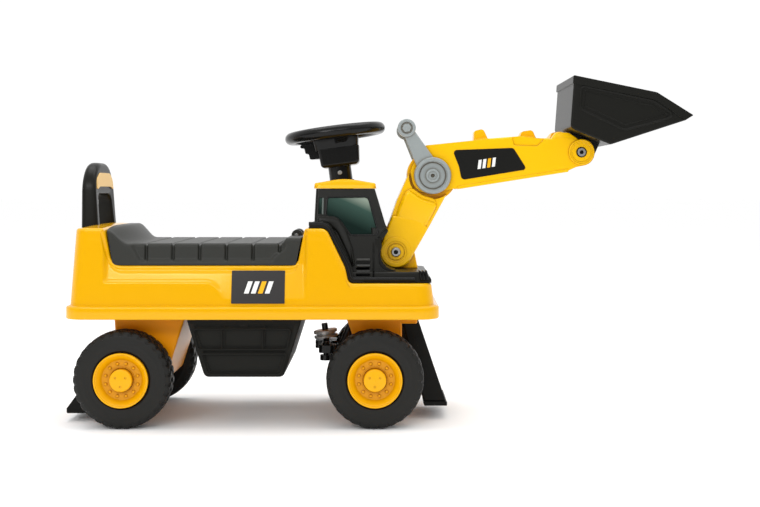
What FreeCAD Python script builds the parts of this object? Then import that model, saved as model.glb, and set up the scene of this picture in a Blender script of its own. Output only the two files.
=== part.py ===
import FreeCAD, Part
import math
import os
from FreeCAD import Vector

# A child's ride-on digger: a foot-powered toy with a blow-moulded body on four wheels, a storage bin under
# a lift-up seat, a steering wheel that turns the front wheels, and a two-part digging arm with a bucket.
# Millimetres. +X is forward, +Y is the driver's left, +Z is up. The origin is on the floor, midway between
# the rear foot and the bucket's tip.

# ---------------------------------------------------------------- driving dimensions
WALL = 3.5                      # moulded wall of the body and its covers
FIT = 0.03                      # gap of a pressed pin or bush
RUN = 0.08                      # radial gap of a pin that turns
GAP = 0.3                       # gap between covers that only meet

WHEEL_R = 74.5
TYRE_W = 45.0
WHEEL_Y = 110.5                 # wheel's middle plane
REAR_X, FRONT_X = -385.0, -3.0  # axles
AXLE_R = 5.0
AXLE_END = 129.5
RIM_R = 41.2

BODY_REAR, BODY_FRONT = -469.0, 90.0
BODY_HALF = 131.0               # at the flange
BODY_LOW, FLANGE_TOP, BODY_TOP = 166.0, 185.0, 303.0
FLANGE_OUT = 5.0
FLOOR_TOP = BODY_LOW + 5.0
LEDGE_Z = 246.5                 # what the seat rests on
DECK_Z = 219.5
SEAT_REAR, SEAT_FRONT = -412.0, -113.0   # ends of the seat's well at the top

TILT = 7.5                      # the steering column leans back
WHEEL_TOP = Vector(-67.8, 0, 452.4)      # centre of the steering wheel's rim
STEER_R, STEER_TUBE = 72.0, 9.5
SLEEVE_R = 18.5
SHAFT_R = 5.0
CRANK = 57.5                    # from the column's axis to the shaft's hooked end

KINGPIN_Y, KINGPIN_R = 62.0, 4.0
STEER_ARM = 77.0
TIE_LOW, TIE_HIGH = 107.0, 119.0

PIVOT = (30.0, 262.7)           # boom's pivot, X and Z
BOOM_ANGLE, BOOM_LEN = 64.4, 134.2
ELBOW = (PIVOT[0] + BOOM_LEN * math.cos(math.radians(BOOM_ANGLE)),
         PIVOT[1] + BOOM_LEN * math.sin(math.radians(BOOM_ANGLE)))
STICK_ANGLE, STICK_LEN = 8.95, 239.8
WRIST = (ELBOW[0] + STICK_LEN * math.cos(math.radians(STICK_ANGLE)),
         ELBOW[1] + STICK_LEN * math.sin(math.radians(STICK_ANGLE)))
STICK_HALF = 38.0
CHEEK_IN = 25.2
EAR_R = 20.8
LEVER_R, LEVER_LEN, LEVER_ANGLE = 29.0, 85.7, 109.6
LEVER_OUT = 50.0
KNOB_R = 14.4
BUCKET_HALF = 80.0
SEAT_HINGE = (-128.0, 289.0)

NODES = {}


# ---------------------------------------------------------------- shape helpers
def block(x0, x1, y0, y1, z0, z1):
    return Part.makeBox(x1 - x0, y1 - y0, z1 - z0, Vector(x0, y0, z0))


def rod(start, end, radius):
    start, end = Vector(*start), Vector(*end)
    return Part.makeCylinder(radius, (end - start).Length, start, end - start)


def rod_y(x, z, radius, y0, y1):
    return rod((x, y0, z), (x, y1, z), radius)


def ring_y(x, z, outer, inner, y0, y1):
    return rod_y(x, z, outer, y0, y1).cut(rod_y(x, z, inner, y0 - 1, y1 + 1))


def rounded(points, place):
    """A closed face through points (a, b) or (a, b, corner radius); place turns (a, b) into a Vector."""
    corners = [(Vector(p[0], p[1], 0), p[2] if len(p) > 2 else 0.0) for p in points]
    runs = []
    for i, (here, radius) in enumerate(corners):
        before, after = corners[i - 1][0], corners[(i + 1) % len(corners)][0]
        to_before, to_after = (before - here).normalize(), (after - here).normalize()
        half = to_before.getAngle(to_after) / 2
        if radius < 1e-6 or abs(half - math.pi / 2) < 1e-4:
            runs.append((here, None, here))
            continue
        reach = radius / math.tan(half)
        middle = here + (to_before + to_after).normalize() * (radius / math.sin(half) - radius)
        runs.append((here + to_before * reach, middle, here + to_after * reach))
    edges = []
    for i, (first, middle, last) in enumerate(runs):
        if middle is not None:
            edges.append(Part.Arc(*[place(p.x, p.y) for p in (first, middle, last)]).toShape())
        following = runs[(i + 1) % len(runs)][0]
        if (following - last).Length > 1e-6:
            edges.append(Part.LineSegment(place(last.x, last.y),
                                          place(following.x, following.y)).toShape())
    return Part.Face(Part.Wire(edges))


def side_slab(points, y0, y1):
    """An outline in X and Z, as seen from the side, from y0 to y1."""
    return rounded(points, lambda a, b: Vector(a, y0, b)).extrude(Vector(0, y1 - y0, 0))


def plan_slab(points, z0, z1):
    """An outline in X and Y, as seen from above, from z0 to z1."""
    return rounded(points, lambda a, b: Vector(a, b, z0)).extrude(Vector(0, 0, z1 - z0))


def end_slab(points, x0, x1):
    """An outline in Y and Z, as seen from the front, from x0 to x1."""
    return rounded(points, lambda a, b: Vector(x0, a, b)).extrude(Vector(x1 - x0, 0, 0))


def rectangle(x0, x1, y_half, radius):
    return [(x0, -y_half, radius), (x1, -y_half, radius), (x1, y_half, radius), (x0, y_half, radius)]


def tapered(low, high, z_low, z_high):
    """A solid between two rounded plan outlines at two heights."""
    wires = [rounded(points, lambda a, b, z=z: Vector(a, b, z)).OuterWire
             for points, z in ((low, z_low), (high, z_high))]
    return Part.makeLoft(wires, True, True)


def turned(points, x, z):
    """A solid of revolution about the line along Y through (x, z); points are (distance, y, radius)."""
    face = rounded(points, lambda a, b: Vector(x, b, z + a))
    return face.revolve(Vector(x, 0, z), Vector(0, 1, 0), 360)


def fused(*shapes):
    whole = shapes[0]
    for shape in shapes[1:]:
        whole = whole.fuse(shape)
    return whole.removeSplitter()


def mirrored(shape):
    return shape.mirror(Vector(0, 0, 0), Vector(0, 1, 0))


def both(shape):
    return fused(shape, mirrored(shape))


def softened(shape, radius, wanted):
    """Rounds the edges for which wanted(edge's bounding box) is true, as many as will take that radius."""
    picked = [e for e in shape.Edges if e.Length > 0.5 and wanted(e.BoundBox)]
    if not picked:
        return shape
    try:
        result = shape.makeFillet(radius, picked)
        if result.isValid() and result.Volume > 0:
            return result
    except Part.OCCError:
        pass
    result = shape
    for edge in picked:
        try:
            same = [e for e in result.Edges if (e.CenterOfMass - edge.CenterOfMass).Length < 0.01
                    and abs(e.Length - edge.Length) < 0.01]
            tried = result.makeFillet(radius, same)
            if tried.isValid() and tried.Volume > 0:
                result = tried
        except (Part.OCCError, ValueError):
            continue
    return result


def arm_place(shape, origin, angle):
    """Takes a piece drawn along +X from the origin to its place along an arm."""
    placed = shape.copy()
    placed.rotate(Vector(0, 0, 0), Vector(0, 1, 0), -angle)
    placed.translate(Vector(origin[0], 0, origin[1]))
    return placed


def on_boom(shape):
    return arm_place(shape, PIVOT, BOOM_ANGLE)


def on_stick(shape):
    return arm_place(shape, ELBOW, STICK_ANGLE)


def on_column(shape):
    """Takes a piece drawn about the Z axis, the steering wheel's centre at the origin, to the column."""
    placed = shape.copy()
    placed.rotate(Vector(0, 0, 0), Vector(0, 1, 0), -TILT)
    placed.translate(WHEEL_TOP)
    return placed


def column_rod(radius, z0, z1):
    return on_column(rod((0, 0, z0), (0, 0, z1), radius))


def bent_rod(points, radius, bend):
    """A round bar along points in X and Z, with each corner bent to one radius."""
    edges = []
    points = [Vector(x, 0, z) for x, z in points]
    here = points[0]
    for before, corner, after in zip(points, points[1:], points[2:]):
        back, on = (before - corner).normalize(), (after - corner).normalize()
        half = back.getAngle(on) / 2
        reach = bend / math.tan(half)
        middle = corner + (back + on).normalize() * (bend / math.sin(half) - bend)
        start, stop = corner + back * reach, corner + on * reach
        edges.append(Part.LineSegment(here, start).toShape())
        edges.append(Part.Arc(start, middle, stop).toShape())
        here = stop
    edges.append(Part.LineSegment(here, points[-1]).toShape())
    path = Part.Wire(edges)
    section = Part.Wire([Part.Circle(points[0], points[1] - points[0], radius).toShape()])
    return path.makePipeShell([section], True, False)


def screw_z(x, y, z, length, head=4.5, shank=2.0):
    """A pan-head screw driven upwards, with a cross slot in its head."""
    body = fused(rod((x, y, z - 2), (x, y, z), head), rod((x, y, z), (x, y, z + length), shank))
    for half_x, half_y in ((2.6, 0.5), (0.5, 2.6)):
        body = body.cut(block(x - half_x, x + half_x, y - half_y, y + half_y, z - 3, z - 1))
    return body


# ---------------------------------------------------------------- body and its covers
BODY_SIDE = [(-480, 140), (-480, 303, 0), (-414, 303, 5), (-403, LEDGE_Z, 18), (-121, LEDGE_Z, 12),
             (-110, 302.5, 4), (-77, 302.5, 12), (-48, 243, 40), (-43, DECK_Z, 9), (110, DECK_Z),
             (110, 140)]
SCREW_PLACES = [(-440, 100), (-320, 108), (-90, 108), (60, 100)]


def body_hull(inset, z_low):
    """The drafted outer box of the body, from z_low to a little above the rear tower."""
    drop = (z_low - BODY_LOW) / (BODY_TOP - BODY_LOW)
    rise = 1.12
    low, high = [rectangle(BODY_REAR + 10 * t + inset, BODY_FRONT - 18 * t - inset,
                           BODY_HALF - 8 * t - inset, 26 - 4 * t - inset) for t in (drop, rise)]
    return tapered(low, high, z_low, BODY_LOW + rise * (BODY_TOP - BODY_LOW))


def side_recess(inset):
    """What is cut from each side beside the seat, where the wall leans in above and ahead of a panel."""
    lean = end_slab([(BODY_HALF + 0.5 - inset, 186), (BODY_HALF - 14 - inset, 250),
                     (BODY_HALF - 17 - inset, 320), (170, 320), (170, 186)],
                    SEAT_REAR - 2 - inset / 2, SEAT_FRONT + 3 + inset / 2)
    if inset > 0:
        return both(lean)
    corners = [e for e in lean.Edges if e.BoundBox.XLength < 0.1 and e.BoundBox.ZLength > 40]
    lean = lean.makeFillet(4, [e for e in corners if e.BoundBox.YMax < BODY_HALF + 1])
    panel = side_slab([(-430, 170), (-430, 223), (-243, 223, 22), (-219, 170, 0)], 60, 200)
    return both(lean.cut(panel))


def body_shell():
    """Yellow body: rear tower, well for the seat, front cowl and deck, open underneath."""
    outer = body_hull(0, BODY_LOW).common(side_slab(BODY_SIDE, -150, 150))
    outer = outer.cut(side_recess(0))
    outer = softened(outer, 4.5, lambda b: b.ZMin > DECK_Z - 1 and b.YLength < 40 and
                     abs(b.Center.y) > 100 and b.XLength > 4 and b.ZMax > LEDGE_Z - 30)
    face = rounded(BODY_SIDE, lambda a, b: Vector(a, -150, b))
    hollow = face.makeOffset2D(-WALL).extrude(Vector(0, 300, 0))
    inner = body_hull(WALL, BODY_LOW - 20).common(hollow).cut(side_recess(WALL + 0.5))
    rear, front, half = BODY_REAR - FLANGE_OUT, BODY_FRONT + FLANGE_OUT, BODY_HALF + FLANGE_OUT
    flange = tapered(rectangle(rear, front, half, 30), rectangle(rear + 1.5, front - 2, half - 1, 29),
                     BODY_LOW, FLANGE_TOP)
    flange = softened(flange, 2.5, lambda b: b.ZLength < 0.1)
    shell = fused(outer, flange).cut(inner)
    shell = shell.cut(block(-286, -125, -100, 100, LEDGE_Z - 10, LEDGE_Z + 10))
    for side in (-1, 1):
        x0, z0 = SEAT_HINGE
        lug = side_slab([(x0, z0 - 6, 5), (-108, z0 - 12), (-108, z0 + 8), (x0, z0 + 6, 5),
                         (x0 - 6.2, z0, 4)],
                        *sorted((side * 29, side * 36.5)))
        shell = shell.fuse(lug)
    shell = shell.cut(rod_y(*SEAT_HINGE, 3 + FIT, -60, 60))
    return shell.removeSplitter()


def backrest_outline(inset, low):
    half, top, corner = 66 - inset, 405 - inset, 42 - inset * 0.6
    return [(-half, low, 0), (-half + 3, top, corner), (half - 3, top, corner), (half, low, 0)]


def badge_outline(inset):
    """The shallow pocket across the top of the backrest's front face, and the sticker in it."""
    return [(-57 + inset, 363.5 + inset, 3), (-54 + inset, 389 - inset, 21),
            (54 - inset, 389 - inset, 21), (57 - inset, 363.5 + inset, 3)]


def backrest():
    """Black arch behind the seat, with a hand hole, pushed into the rear tower."""
    arch = end_slab(backrest_outline(0, 297), -462, -438.5)
    hole = end_slab([(-49, 270), (-46, 355, 16), (46, 355, 16), (49, 270)], -480, -420)
    arch = arch.cut(hole)
    arch = softened(arch, 6.5, lambda b: b.XLength < 0.1 and b.ZMax > 310)
    return arch.cut(end_slab(badge_outline(0), -439.1, -430))


def backrest_cavity():
    return both(block(-462 - FIT, -438.5 + FIT, 49 - 3, 66 + FIT, 296.9, 320))


def seat_lid():
    """Black seat: a hollow lid with cross channels, raised at the back and the front, hinged in front."""
    low = LEDGE_Z + GAP
    profile = [(-401.5, low, 18.3), (-412.6, 303, 3), (-405, 307, 4), (-389, 306.5, 8),
               (-372, 278.5, 14), (-146, 277.5, 14), (-137, 289, 8), (-114.5, 290, 3), (-122, low, 12.3)]
    outer = tapered(rectangle(-420, -100, 117, 10), rectangle(-420, -100, 103, 10), low, 320)
    outer = outer.common(side_slab(profile, -140, 140))
    hollow = rounded(profile, lambda a, b: Vector(a, -100, b)).makeOffset2D(-WALL).extrude(Vector(0, 200, 0))
    lid = outer.cut(hollow)
    for i in range(6):
        x = -351 + i * 40.6
        lid = lid.cut(block(x - 2, x + 2, -105, 105, 276, 282))
    for side in (-1, 1):
        near, far = sorted((side * 28.4, side * 37.1))
        lid = lid.cut(block(-138, -100, near, far, 240, 300))
        x0, z0 = SEAT_HINGE
        lid = lid.fuse(rod_y(x0, z0, 7.5, *sorted((side * 10, side * 28.4))))
    lid = lid.cut(rod_y(*SEAT_HINGE, 3 + RUN, -60, 60))
    return lid.removeSplitter()


def storage_bin():
    """Black bin between the wheels, open at the top under the seat, with framed side panels."""
    top = LEDGE_Z - WALL - 2
    profile = [(-289, top), (-289, 162, 3), (-262, 76.7, 9), (-142, 76.7, 9), (-115, 162, 3), (-115, top)]
    face = rounded(profile, lambda a, b: Vector(a, 0, b))
    outer = side_slab(profile, -115, 115)
    outer = softened(outer, 3, lambda b: b.YLength < 0.1 and b.ZMin < 165)
    inner = face.makeOffset2D(-4.5).extrude(Vector(0, 221, 0))
    inner.translate(Vector(0, -110.5, 0))
    inner = inner.fuse(block(-284.5, -119.5, -110.5, 110.5, 170, 300))
    made = outer.cut(inner)
    frame = side_slab([(-278, 156.5, 3), (-253, 85.5, 5), (-151, 85.5, 5), (-124.5, 156.5, 3)], 113, 120)
    flange = plan_slab(rectangle(-293.5, -110.5, 119, 6), FLOOR_TOP + 0.05, FLOOR_TOP + 3.5)
    made = fused(made, flange.cut(block(-287, -117, -113, 113, FLOOR_TOP - 1, FLOOR_TOP + 9)))
    ribs = fused(block(-275, -130, 112, 115, 116.5, 122.5), block(-234.5, -231, 112, 115, 122, 157),
                 block(-173, -169.5, 112, 115, 122, 157), block(-209, -196, 112, 115, 148, 157))
    return made.cut(both(frame.cut(ribs)))


def floor_panel():
    """Yellow panel that closes the body underneath and carries the lower bush of the steering column."""
    edge = WALL + 1.5
    plate = plan_slab(rectangle(BODY_REAR + edge, BODY_FRONT - edge, BODY_HALF - edge, 20),
                      BODY_LOW, FLOOR_TOP)
    plate = plate.cut(block(-289.4, -114.6, -115.4, 115.4, BODY_LOW - 1, FLOOR_TOP + 1))
    boss = column_rod(14, -277, -262).common(block(-60, 10, -20, 20, FLOOR_TOP - 2, 220))
    foot = side_slab([(-52, BODY_LOW), (-46, 186), (-18, 190), (-14, BODY_LOW)], -14, 14)
    plate = fused(plate, boss, foot)
    plate = plate.cut(column_rod(9 + FIT, -277, -258)).cut(column_rod(11, -300, -277 + 1e-3))
    for x, y in SCREW_PLACES:
        plate = plate.cut(both(rod((x, y, BODY_LOW - 5), (x, y, BODY_LOW + 20), 2 + FIT)))
    return plate.cut(block(-50, -20, -11, 11, BODY_LOW - 2, 177))


def rear_axle_housing():
    """Yellow box under the rear of the body that the axle runs through."""
    profile = [(-408, BODY_LOW), (-402, 60, 12), (-331, 58, 14), (-297, BODY_LOW)]
    face = rounded([(-408, BODY_LOW + 20), (-402, 60, 12), (-331, 58, 14), (-293.5, BODY_LOW + 20)],
                   lambda a, b: Vector(a, -80 + WALL, b))
    outer = softened(side_slab(profile, -80, 80), 4, lambda b: b.YLength < 0.1 and b.ZMin < 160)
    outer = softened(outer, 3, lambda b: b.YLength > 100 and b.ZLength < 0.1 and b.ZMax < 150)
    made = outer.cut(face.makeOffset2D(-WALL).extrude(Vector(0, 160 - 2 * WALL, 0)))
    made = fused(made, both(rod_y(REAR_X, WHEEL_R, 11, 60, 80)))
    return made.cut(rod_y(REAR_X, WHEEL_R, AXLE_R + FIT, -100, 100))


def front_axle_housing():
    """Yellow box under the front of the body, with a spine and lugs that hold the two kingpins."""
    profile = [(-50, BODY_LOW), (-36, 128), (-28, 112, 4), (39, 112, 4), (39, 152), (63, 152, 3),
               (63, BODY_LOW)]
    outer = side_slab(profile, -68, 68)
    outer = softened(outer, 3, lambda b: b.YLength < 0.1 and b.ZMin < 160)
    hollow = side_slab([(-43, BODY_LOW + 9), (-32.5, 130), (-26, 116), (35.5, 116), (35.5, 156), (59.5, 156),
                        (59.5, BODY_LOW + 9)], -64.5, 64.5)
    spine = side_slab([(-18, 120), (-16, 44, 6), (10, 44, 6), (12, 120)], -44, 44)
    lugs = fused(plan_slab([(-16, -50), (10, -50), (10, 50), (-16, 50)], 44, 52),
                 both(rod((FRONT_X, KINGPIN_Y, 44), (FRONT_X, KINGPIN_Y, 52), 12)),
                 block(-15, 9, -KINGPIN_Y, KINGPIN_Y, 44, 52))
    made = fused(outer.cut(hollow), spine, lugs)
    for side in (-1, 1):
        y = side * KINGPIN_Y
        made = made.cut(rod((FRONT_X, y, 30), (FRONT_X, y, 130), KINGPIN_R + FIT))
    return made.cut(block(-60, -20, -24, 24, 100, 180))


def front_support():
    """Black prop ahead of the front wheels that stops the toy tipping onto its nose."""
    leg = side_slab([(39 + GAP, 152), (66.5, 152), (109, 27), (74, 27)], -50, 50)
    leg = softened(leg, 3, lambda b: b.YLength < 0.1 and b.ZMin < 140)
    foot = side_slab([(74.5, 21, 1.5), (110.5, 21, 1.5), (110.5, 27.5, 1.5), (72.5, 27.5, 1.5)], -52, 52)
    hollow = side_slab([(43, 170), (63, 170), (103, 31), (79, 31)], -46, 46)
    ribs = both(side_slab([(58, 130), (74, 130), (96, 62), (81, 62)], 49, 52))
    return fused(leg, foot).cut(hollow).cut(ribs)


def rear_support():
    """Black leg behind the rear axle that stops the toy tipping backwards."""
    leg = side_slab([(-484.5, 12.5, 2), (-484.5, 20, 2), (-470, 40, 6), (-405.4, 112), (-403.0, 66),
                     (-436, 30, 14), (-452, 12.5, 4)], -70, 70)
    leg = softened(leg, 2, lambda b: b.YLength < 0.1 and b.XMax < -410)
    hollow = side_slab([(-467.4, 37.7, 3), (-390, 123.8), (-390, 85.5), (-438.6, 32.4, 8), (-453.5, 16, 2),
                        (-480, 16, 1), (-480, 19, 1)], -66.5, 66.5)
    return leg.cut(hollow)


# ---------------------------------------------------------------- cab
CAB_WINDOW = [(-76, 349, 3), (-14, 349.5, 7), (1.5, 293, 4), (-40, 292.5, 3), (-56, 315, 14), (-78, 322, 4)]
CAB_STRIP = [(-89.5, 349), (-83, 349), (-83.5, 324), (-90.5, 324)]


def shrunk(outline, by=0.25):
    """The outline drawn in towards its middle, by about the same all round."""
    x_mid = sum(p[0] for p in outline) / len(outline)
    z_mid = sum(p[1] for p in outline) / len(outline)
    reach_x = max(abs(p[0] - x_mid) for p in outline)
    reach_z = max(abs(p[1] - z_mid) for p in outline)
    scale_x, scale_z = 1 - 2 * by / reach_x, 1 - 2 * by / reach_z
    return [(x_mid + (x - x_mid) * scale_x, z_mid + (z - z_mid) * scale_z, *corner)
            for x, z, *corner in outline]


def cab_half(z):
    """Half-width of the cab at a height: its sides lean in."""
    return 106 - (z - 230) * 0.18


def cab_side_band(outline, depth_in, depth_out):
    """The part of a side outline that lies between two depths under the left side of the cab."""
    band = end_slab([(cab_half(z) - depth, z) for z, depth in
                     ((270, depth_in), (360, depth_in), (360, depth_out), (270, depth_out))], -100, 60)
    return side_slab(outline, 60, 140).common(band)


def cab_body():
    """Black cab and front deck, one hollow moulding that sits on the cowl and the body's deck."""
    deck_low = DECK_Z + GAP
    saddle = side_slab([(-104, 303), (-100, 312, 3), (-73, 312, 16), (-38.5, 246, 40),
                        (-35, deck_low + 7, 6), (-20, deck_low + 7), (-20, deck_low), (-42.7, deck_low, 9),
                        (-47.4, 243.2, 40), (-76.7, 303, 12)], -116, 116)
    deck = side_slab([(-42.7, deck_low, 9), (-38, 236.5), (14, 236.5), (66, 236.5, 3), (70, 230.5, 4),
                      (80, 230, 4), (83, 225, 3), (83, deck_low)], -114, 114)
    deck = softened(deck, 4, lambda b: b.YLength < 0.1 and b.XMin > -30 and b.ZMin > deck_low + 1)
    tower_side = [(-96.5, 309), (-96.5, 318), (-94.5, 363), (-3.5, 363), (14.5, 302.5, 2), (2, 289, 2),
                  (3, 236.5, 17), (30, 236.5), (30, 230), (-36, 230), (-41, 246, 38), (-73, 309, 14)]
    width = end_slab([(-cab_half(230), 230), (-cab_half(363), 363), (cab_half(363), 363),
                      (cab_half(230), 230)], -120, 60)
    tower = side_slab(tower_side, -120, 120).common(width)
    tower = softened(tower, 5, lambda b: b.ZLength > 30 and b.XLength < 25 and b.ZMin > 295)
    cheek = side_slab([(-2, 234), (-2, 287), (6, 287, 3), (9, 262), (31, 234)], 50, cab_half(262) - 2)
    cheek = both(cheek.cut(rod_y(*PIVOT, 24.6, 40, 120)))
    body = fused(saddle, deck, tower, cheek)
    for outline in (CAB_WINDOW, CAB_STRIP):
        pocket = cab_side_band(outline, 2.5, -10)
        body = body.cut(pocket).cut(mirrored(pocket))
    for i in range(3):
        z = 230 + i * 9
        slot = side_slab([(-32, z, 1.5), (-10, z, 1.5), (-10, z + 4, 1.5), (-32, z + 4, 1.5)], 99, 130)
        body = body.cut(both(slot))
    groove = side_slab([(-6.5, 225), (-4, 225), (-4, 284), (-6.5, 284)], 97, 130)
    body = body.cut(both(groove))
    hollow = side_slab([(-91, 318), (-90.5, 359), (-6, 359), (9.5, 304), (-2.5, 291), (-2, 236), (-30, 236),
                        (-36, 248, 30), (-70, 316, 14)], -120, 120)
    low, high = cab_half(230) - 5, cab_half(359) - 5
    leaning = [(-low, 230), (-high, 359), (high, 359), (low, 230)]
    body = body.cut(hollow.common(end_slab(leaning, -120, 60)))
    body = body.cut(block(-30, -2, -90, 90, deck_low - 5, 245))
    body = body.cut(both(block(3, 65, 12, 104, deck_low - 5, 233)))
    body = body.cut(block(3.6, 21, -30.5, 30.5, 236.6, 256))
    return body.cut(column_rod(SLEEVE_R + 2.5, -150, -60)).cut(column_rod(9, -300, -140))


def cab_windows():
    """Dark panes let into the cab's sides and its corner strips."""
    panes = [cab_side_band(shrunk(outline), 2.45, 1.2) for outline in (CAB_WINDOW, CAB_STRIP)]
    return Part.makeCompound(panes + [mirrored(pane) for pane in panes])


def cab_roof():
    """Yellow roof cap with a low crown and a collar for the steering column."""
    slab = tapered(rectangle(-98, -1, 84.5, 9), rectangle(-97, -2, 83.5, 8), 363 + GAP, 369)
    crown = side_slab([(-97, 366), (-97, 371.5, 3), (-50, 379.5, 120), (-2, 371.5, 3), (-2, 366)],
                      -83.5, 83.5)
    crown = softened(crown, 4, lambda b: b.YLength < 0.1 and b.ZMin > 371)
    roof = fused(slab, crown)
    return roof.cut(column_rod(SLEEVE_R + 2.5, -120, -50))


def column_bushes():
    """A wide bush in the roof and a narrow one in the floor that the steering column turns in."""
    upper = column_rod(SLEEVE_R + 2.5 - FIT, -89, -77).cut(column_rod(SLEEVE_R + RUN, -100, -60))
    lower = column_rod(9, -277, -260.5).cut(column_rod(SHAFT_R + RUN, -300, -240))
    return Part.makeCompound([upper, lower])


def arm_base():
    """Yellow block on the deck that carries the boom's pivot."""
    outline = [(4, 237 - GAP), (4, 283, 6), (34, 287, 14), (60, 262, 12), (65, 237 - GAP)]
    made = softened(side_slab(outline, -30, 30), 2.5, lambda b: b.YLength < 0.1 and b.ZMax > 240)
    return made.cut(rod_y(*PIVOT, 6 + FIT, -60, 60))


def boom_pivot_bolt():
    bolt = rod_y(*PIVOT, 6, -44.2, 44.2)
    head = softened(rod_y(*PIVOT, 7.2, 40.2, 46.5), 1.2, lambda b: b.YMin > 46)
    socket = hexagon(*PIVOT, 3.4, 44, 50)
    return fused(bolt, both(head.cut(socket)))


def hexagon(x, z, radius, y0, y1):
    points = [(x + radius * math.cos(math.radians(60 * i)), z + radius * math.sin(math.radians(60 * i)))
              for i in range(6)]
    return side_slab(points, y0, y1)


# ---------------------------------------------------------------- steering
HUB_R = 32.5


def steering_wheel():
    """Black rim on three spokes, with a hub that has a pocket for the horn button."""
    rim = Part.makeTorus(STEER_R, STEER_TUBE)
    hub = softened(rod((0, 0, -24), (0, 0, -6), HUB_R), 4, lambda b: b.ZMax > -7)
    wheel = fused(rim, hub)
    for angle in (180, 78, -78):
        spoke = side_slab([(20, -20), (20, -11), (50, -7), (68, 0), (72, -4), (64, -9), (48, -15)], -9, 9)
        spoke.rotate(Vector(0, 0, 0), Vector(0, 0, 1), angle)
        wheel = wheel.fuse(spoke)
    wheel = wheel.removeSplitter()
    return on_column(wheel.cut(rod((0, 0, -17.5), (0, 0, 5), 17.4)))


def horn_button():
    button = softened(rod((0, 0, -14.5), (0, 0, -2.5), 17), 2.5, lambda b: b.ZMin > -3)
    return on_column(button.cut(rod((0, 0, -16), (0, 0, -5.5), 14)))


def sound_module():
    """Black case under the wheel that holds the cells and turns with it, stepped towards the driver."""
    case = side_slab([(-30, -24.3), (-28, -54, 6), (33, -54, 8), (36, -24.3)], -36, 36)
    case = softened(case, 5, lambda b: b.YLength < 0.1 and b.ZMin < -30)
    steps = side_slab([(-58, -12.5, 2), (-58, -17, 2), (-52, -18, 1), (-51, -27, 2), (-46, -28, 1),
                       (-45, -37, 2), (-28, -38), (-28, -24.6), (-33, -24.6), (-33, -14)], -17, 17)
    case = fused(case, steps).cut(wheel_clearance())
    for x in (-19.5, 20):
        case = case.cut(block(x - 8, x + 8, -30, 30, -46.5, -30))
    return on_column(case.cut(rod((0, 0, -60), (0, 0, -20), SHAFT_R + FIT)))


def wheel_clearance():
    """Room for the wheel's hub and rear spoke above the case's steps."""
    spoke = side_slab([(20, -20.5), (20, -10), (50, -6), (68, 1), (74, -4), (64, -9.5), (48, -15.5)],
                      -9.5, 9.5)
    spoke.rotate(Vector(0, 0, 0), Vector(0, 0, 1), 180)
    return fused(spoke, rod((0, 0, -24.2), (0, 0, 0), HUB_R + 0.4))


def battery_cells():
    cells = [rod((x, -25, -38), (x, 24, -38), 7.1).fuse(rod((x, 24, -38), (x, 25.5, -38), 2.6))
             for x in (-19.5, 20)]
    return on_column(Part.makeCompound(cells))


def steering_sleeve():
    sleeve = rod((0, 0, -132), (0, 0, -54.2), SLEEVE_R).cut(rod((0, 0, -140), (0, 0, -50), SHAFT_R + FIT))
    return on_column(sleeve.cut(rod((0, -30, -64), (0, 30, -64), 2 + FIT)))


def sleeve_screw():
    bolt = rod((0, -19, -64), (0, 19, -64), 2)
    heads = both(softened(rod((0, SLEEVE_R + 0.1, -64), (0, SLEEVE_R + 2.1, -64), 3.6), 0.8,
                          lambda b: b.YMin > 20))
    slot = both(block(-4, 4, SLEEVE_R + 1.2, SLEEVE_R + 4, -64.5, -63.5))
    return on_column(fused(bolt, heads).cut(slot))


def steering_shaft():
    """Steel bar down the column, cranked back below the floor with its end hooked up through the tie rod."""
    path = [(0, -26), (0, -283), (-40, -350), (-CRANK, -352), (-CRANK, -302.5)]
    bar = bent_rod(path, SHAFT_R, 8)
    return on_column(bar.cut(rod((0, -30, -64), (0, 30, -64), 2 + FIT)))


def steering_washer():
    """Plated collar on the hooked end, which keeps the tie rod on it."""
    collar = rod((-CRANK, 0, -325.3), (-CRANK, 0, -313), 19)
    groove = [rod((-CRANK, 0, -321), (-CRANK, 0, -318), radius) for radius in (30, 15)]
    collar = collar.cut(groove[0].cut(groove[1]))
    collar = softened(collar, 1, lambda b: b.ZLength < 0.1 and b.XLength > 37)
    return on_column(collar.cut(rod((-CRANK, 0, -330), (-CRANK, 0, -300), SHAFT_R + FIT)))


def tie_rod():
    """Black bar that joins the two steering arms, with a fork in the middle for the shaft's hook."""
    x = FRONT_X - STEER_ARM
    bar = fused(plan_slab(rectangle(x - 7, x + 7, 60, 0), TIE_LOW, TIE_HIGH),
                plan_slab(rectangle(x - 19, x + 15, 18, 5), TIE_LOW, TIE_HIGH))
    for side in (-1, 1):
        y = side * KINGPIN_Y
        eye = plan_slab([(x - 11, y - 12, 9), (x + 16, y - 12, 9), (x + 16, y + 12, 9), (x - 11, y + 12, 9)],
                        TIE_LOW, TIE_HIGH)
        bar = bar.fuse(eye)
    for side in (-1, 1):
        y = side * KINGPIN_Y
        slot = plan_slab([(x - 5.2, y - 4.9, 4.6), (x + 10.8, y - 4.9, 4.6), (x + 10.8, y + 4.9, 4.6),
                          (x - 5.2, y + 4.9, 4.6)], TIE_LOW - 1, TIE_HIGH + 1)
        bar = bar.cut(slot)
    bar = bar.cut(plan_slab([(x - 9, -6.2, 6), (x + 40, -6.2), (x + 40, 6.2), (x - 9, 6.2, 6)],
                            TIE_LOW - 1, TIE_HIGH + 1))
    return bar.removeSplitter()


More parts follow.
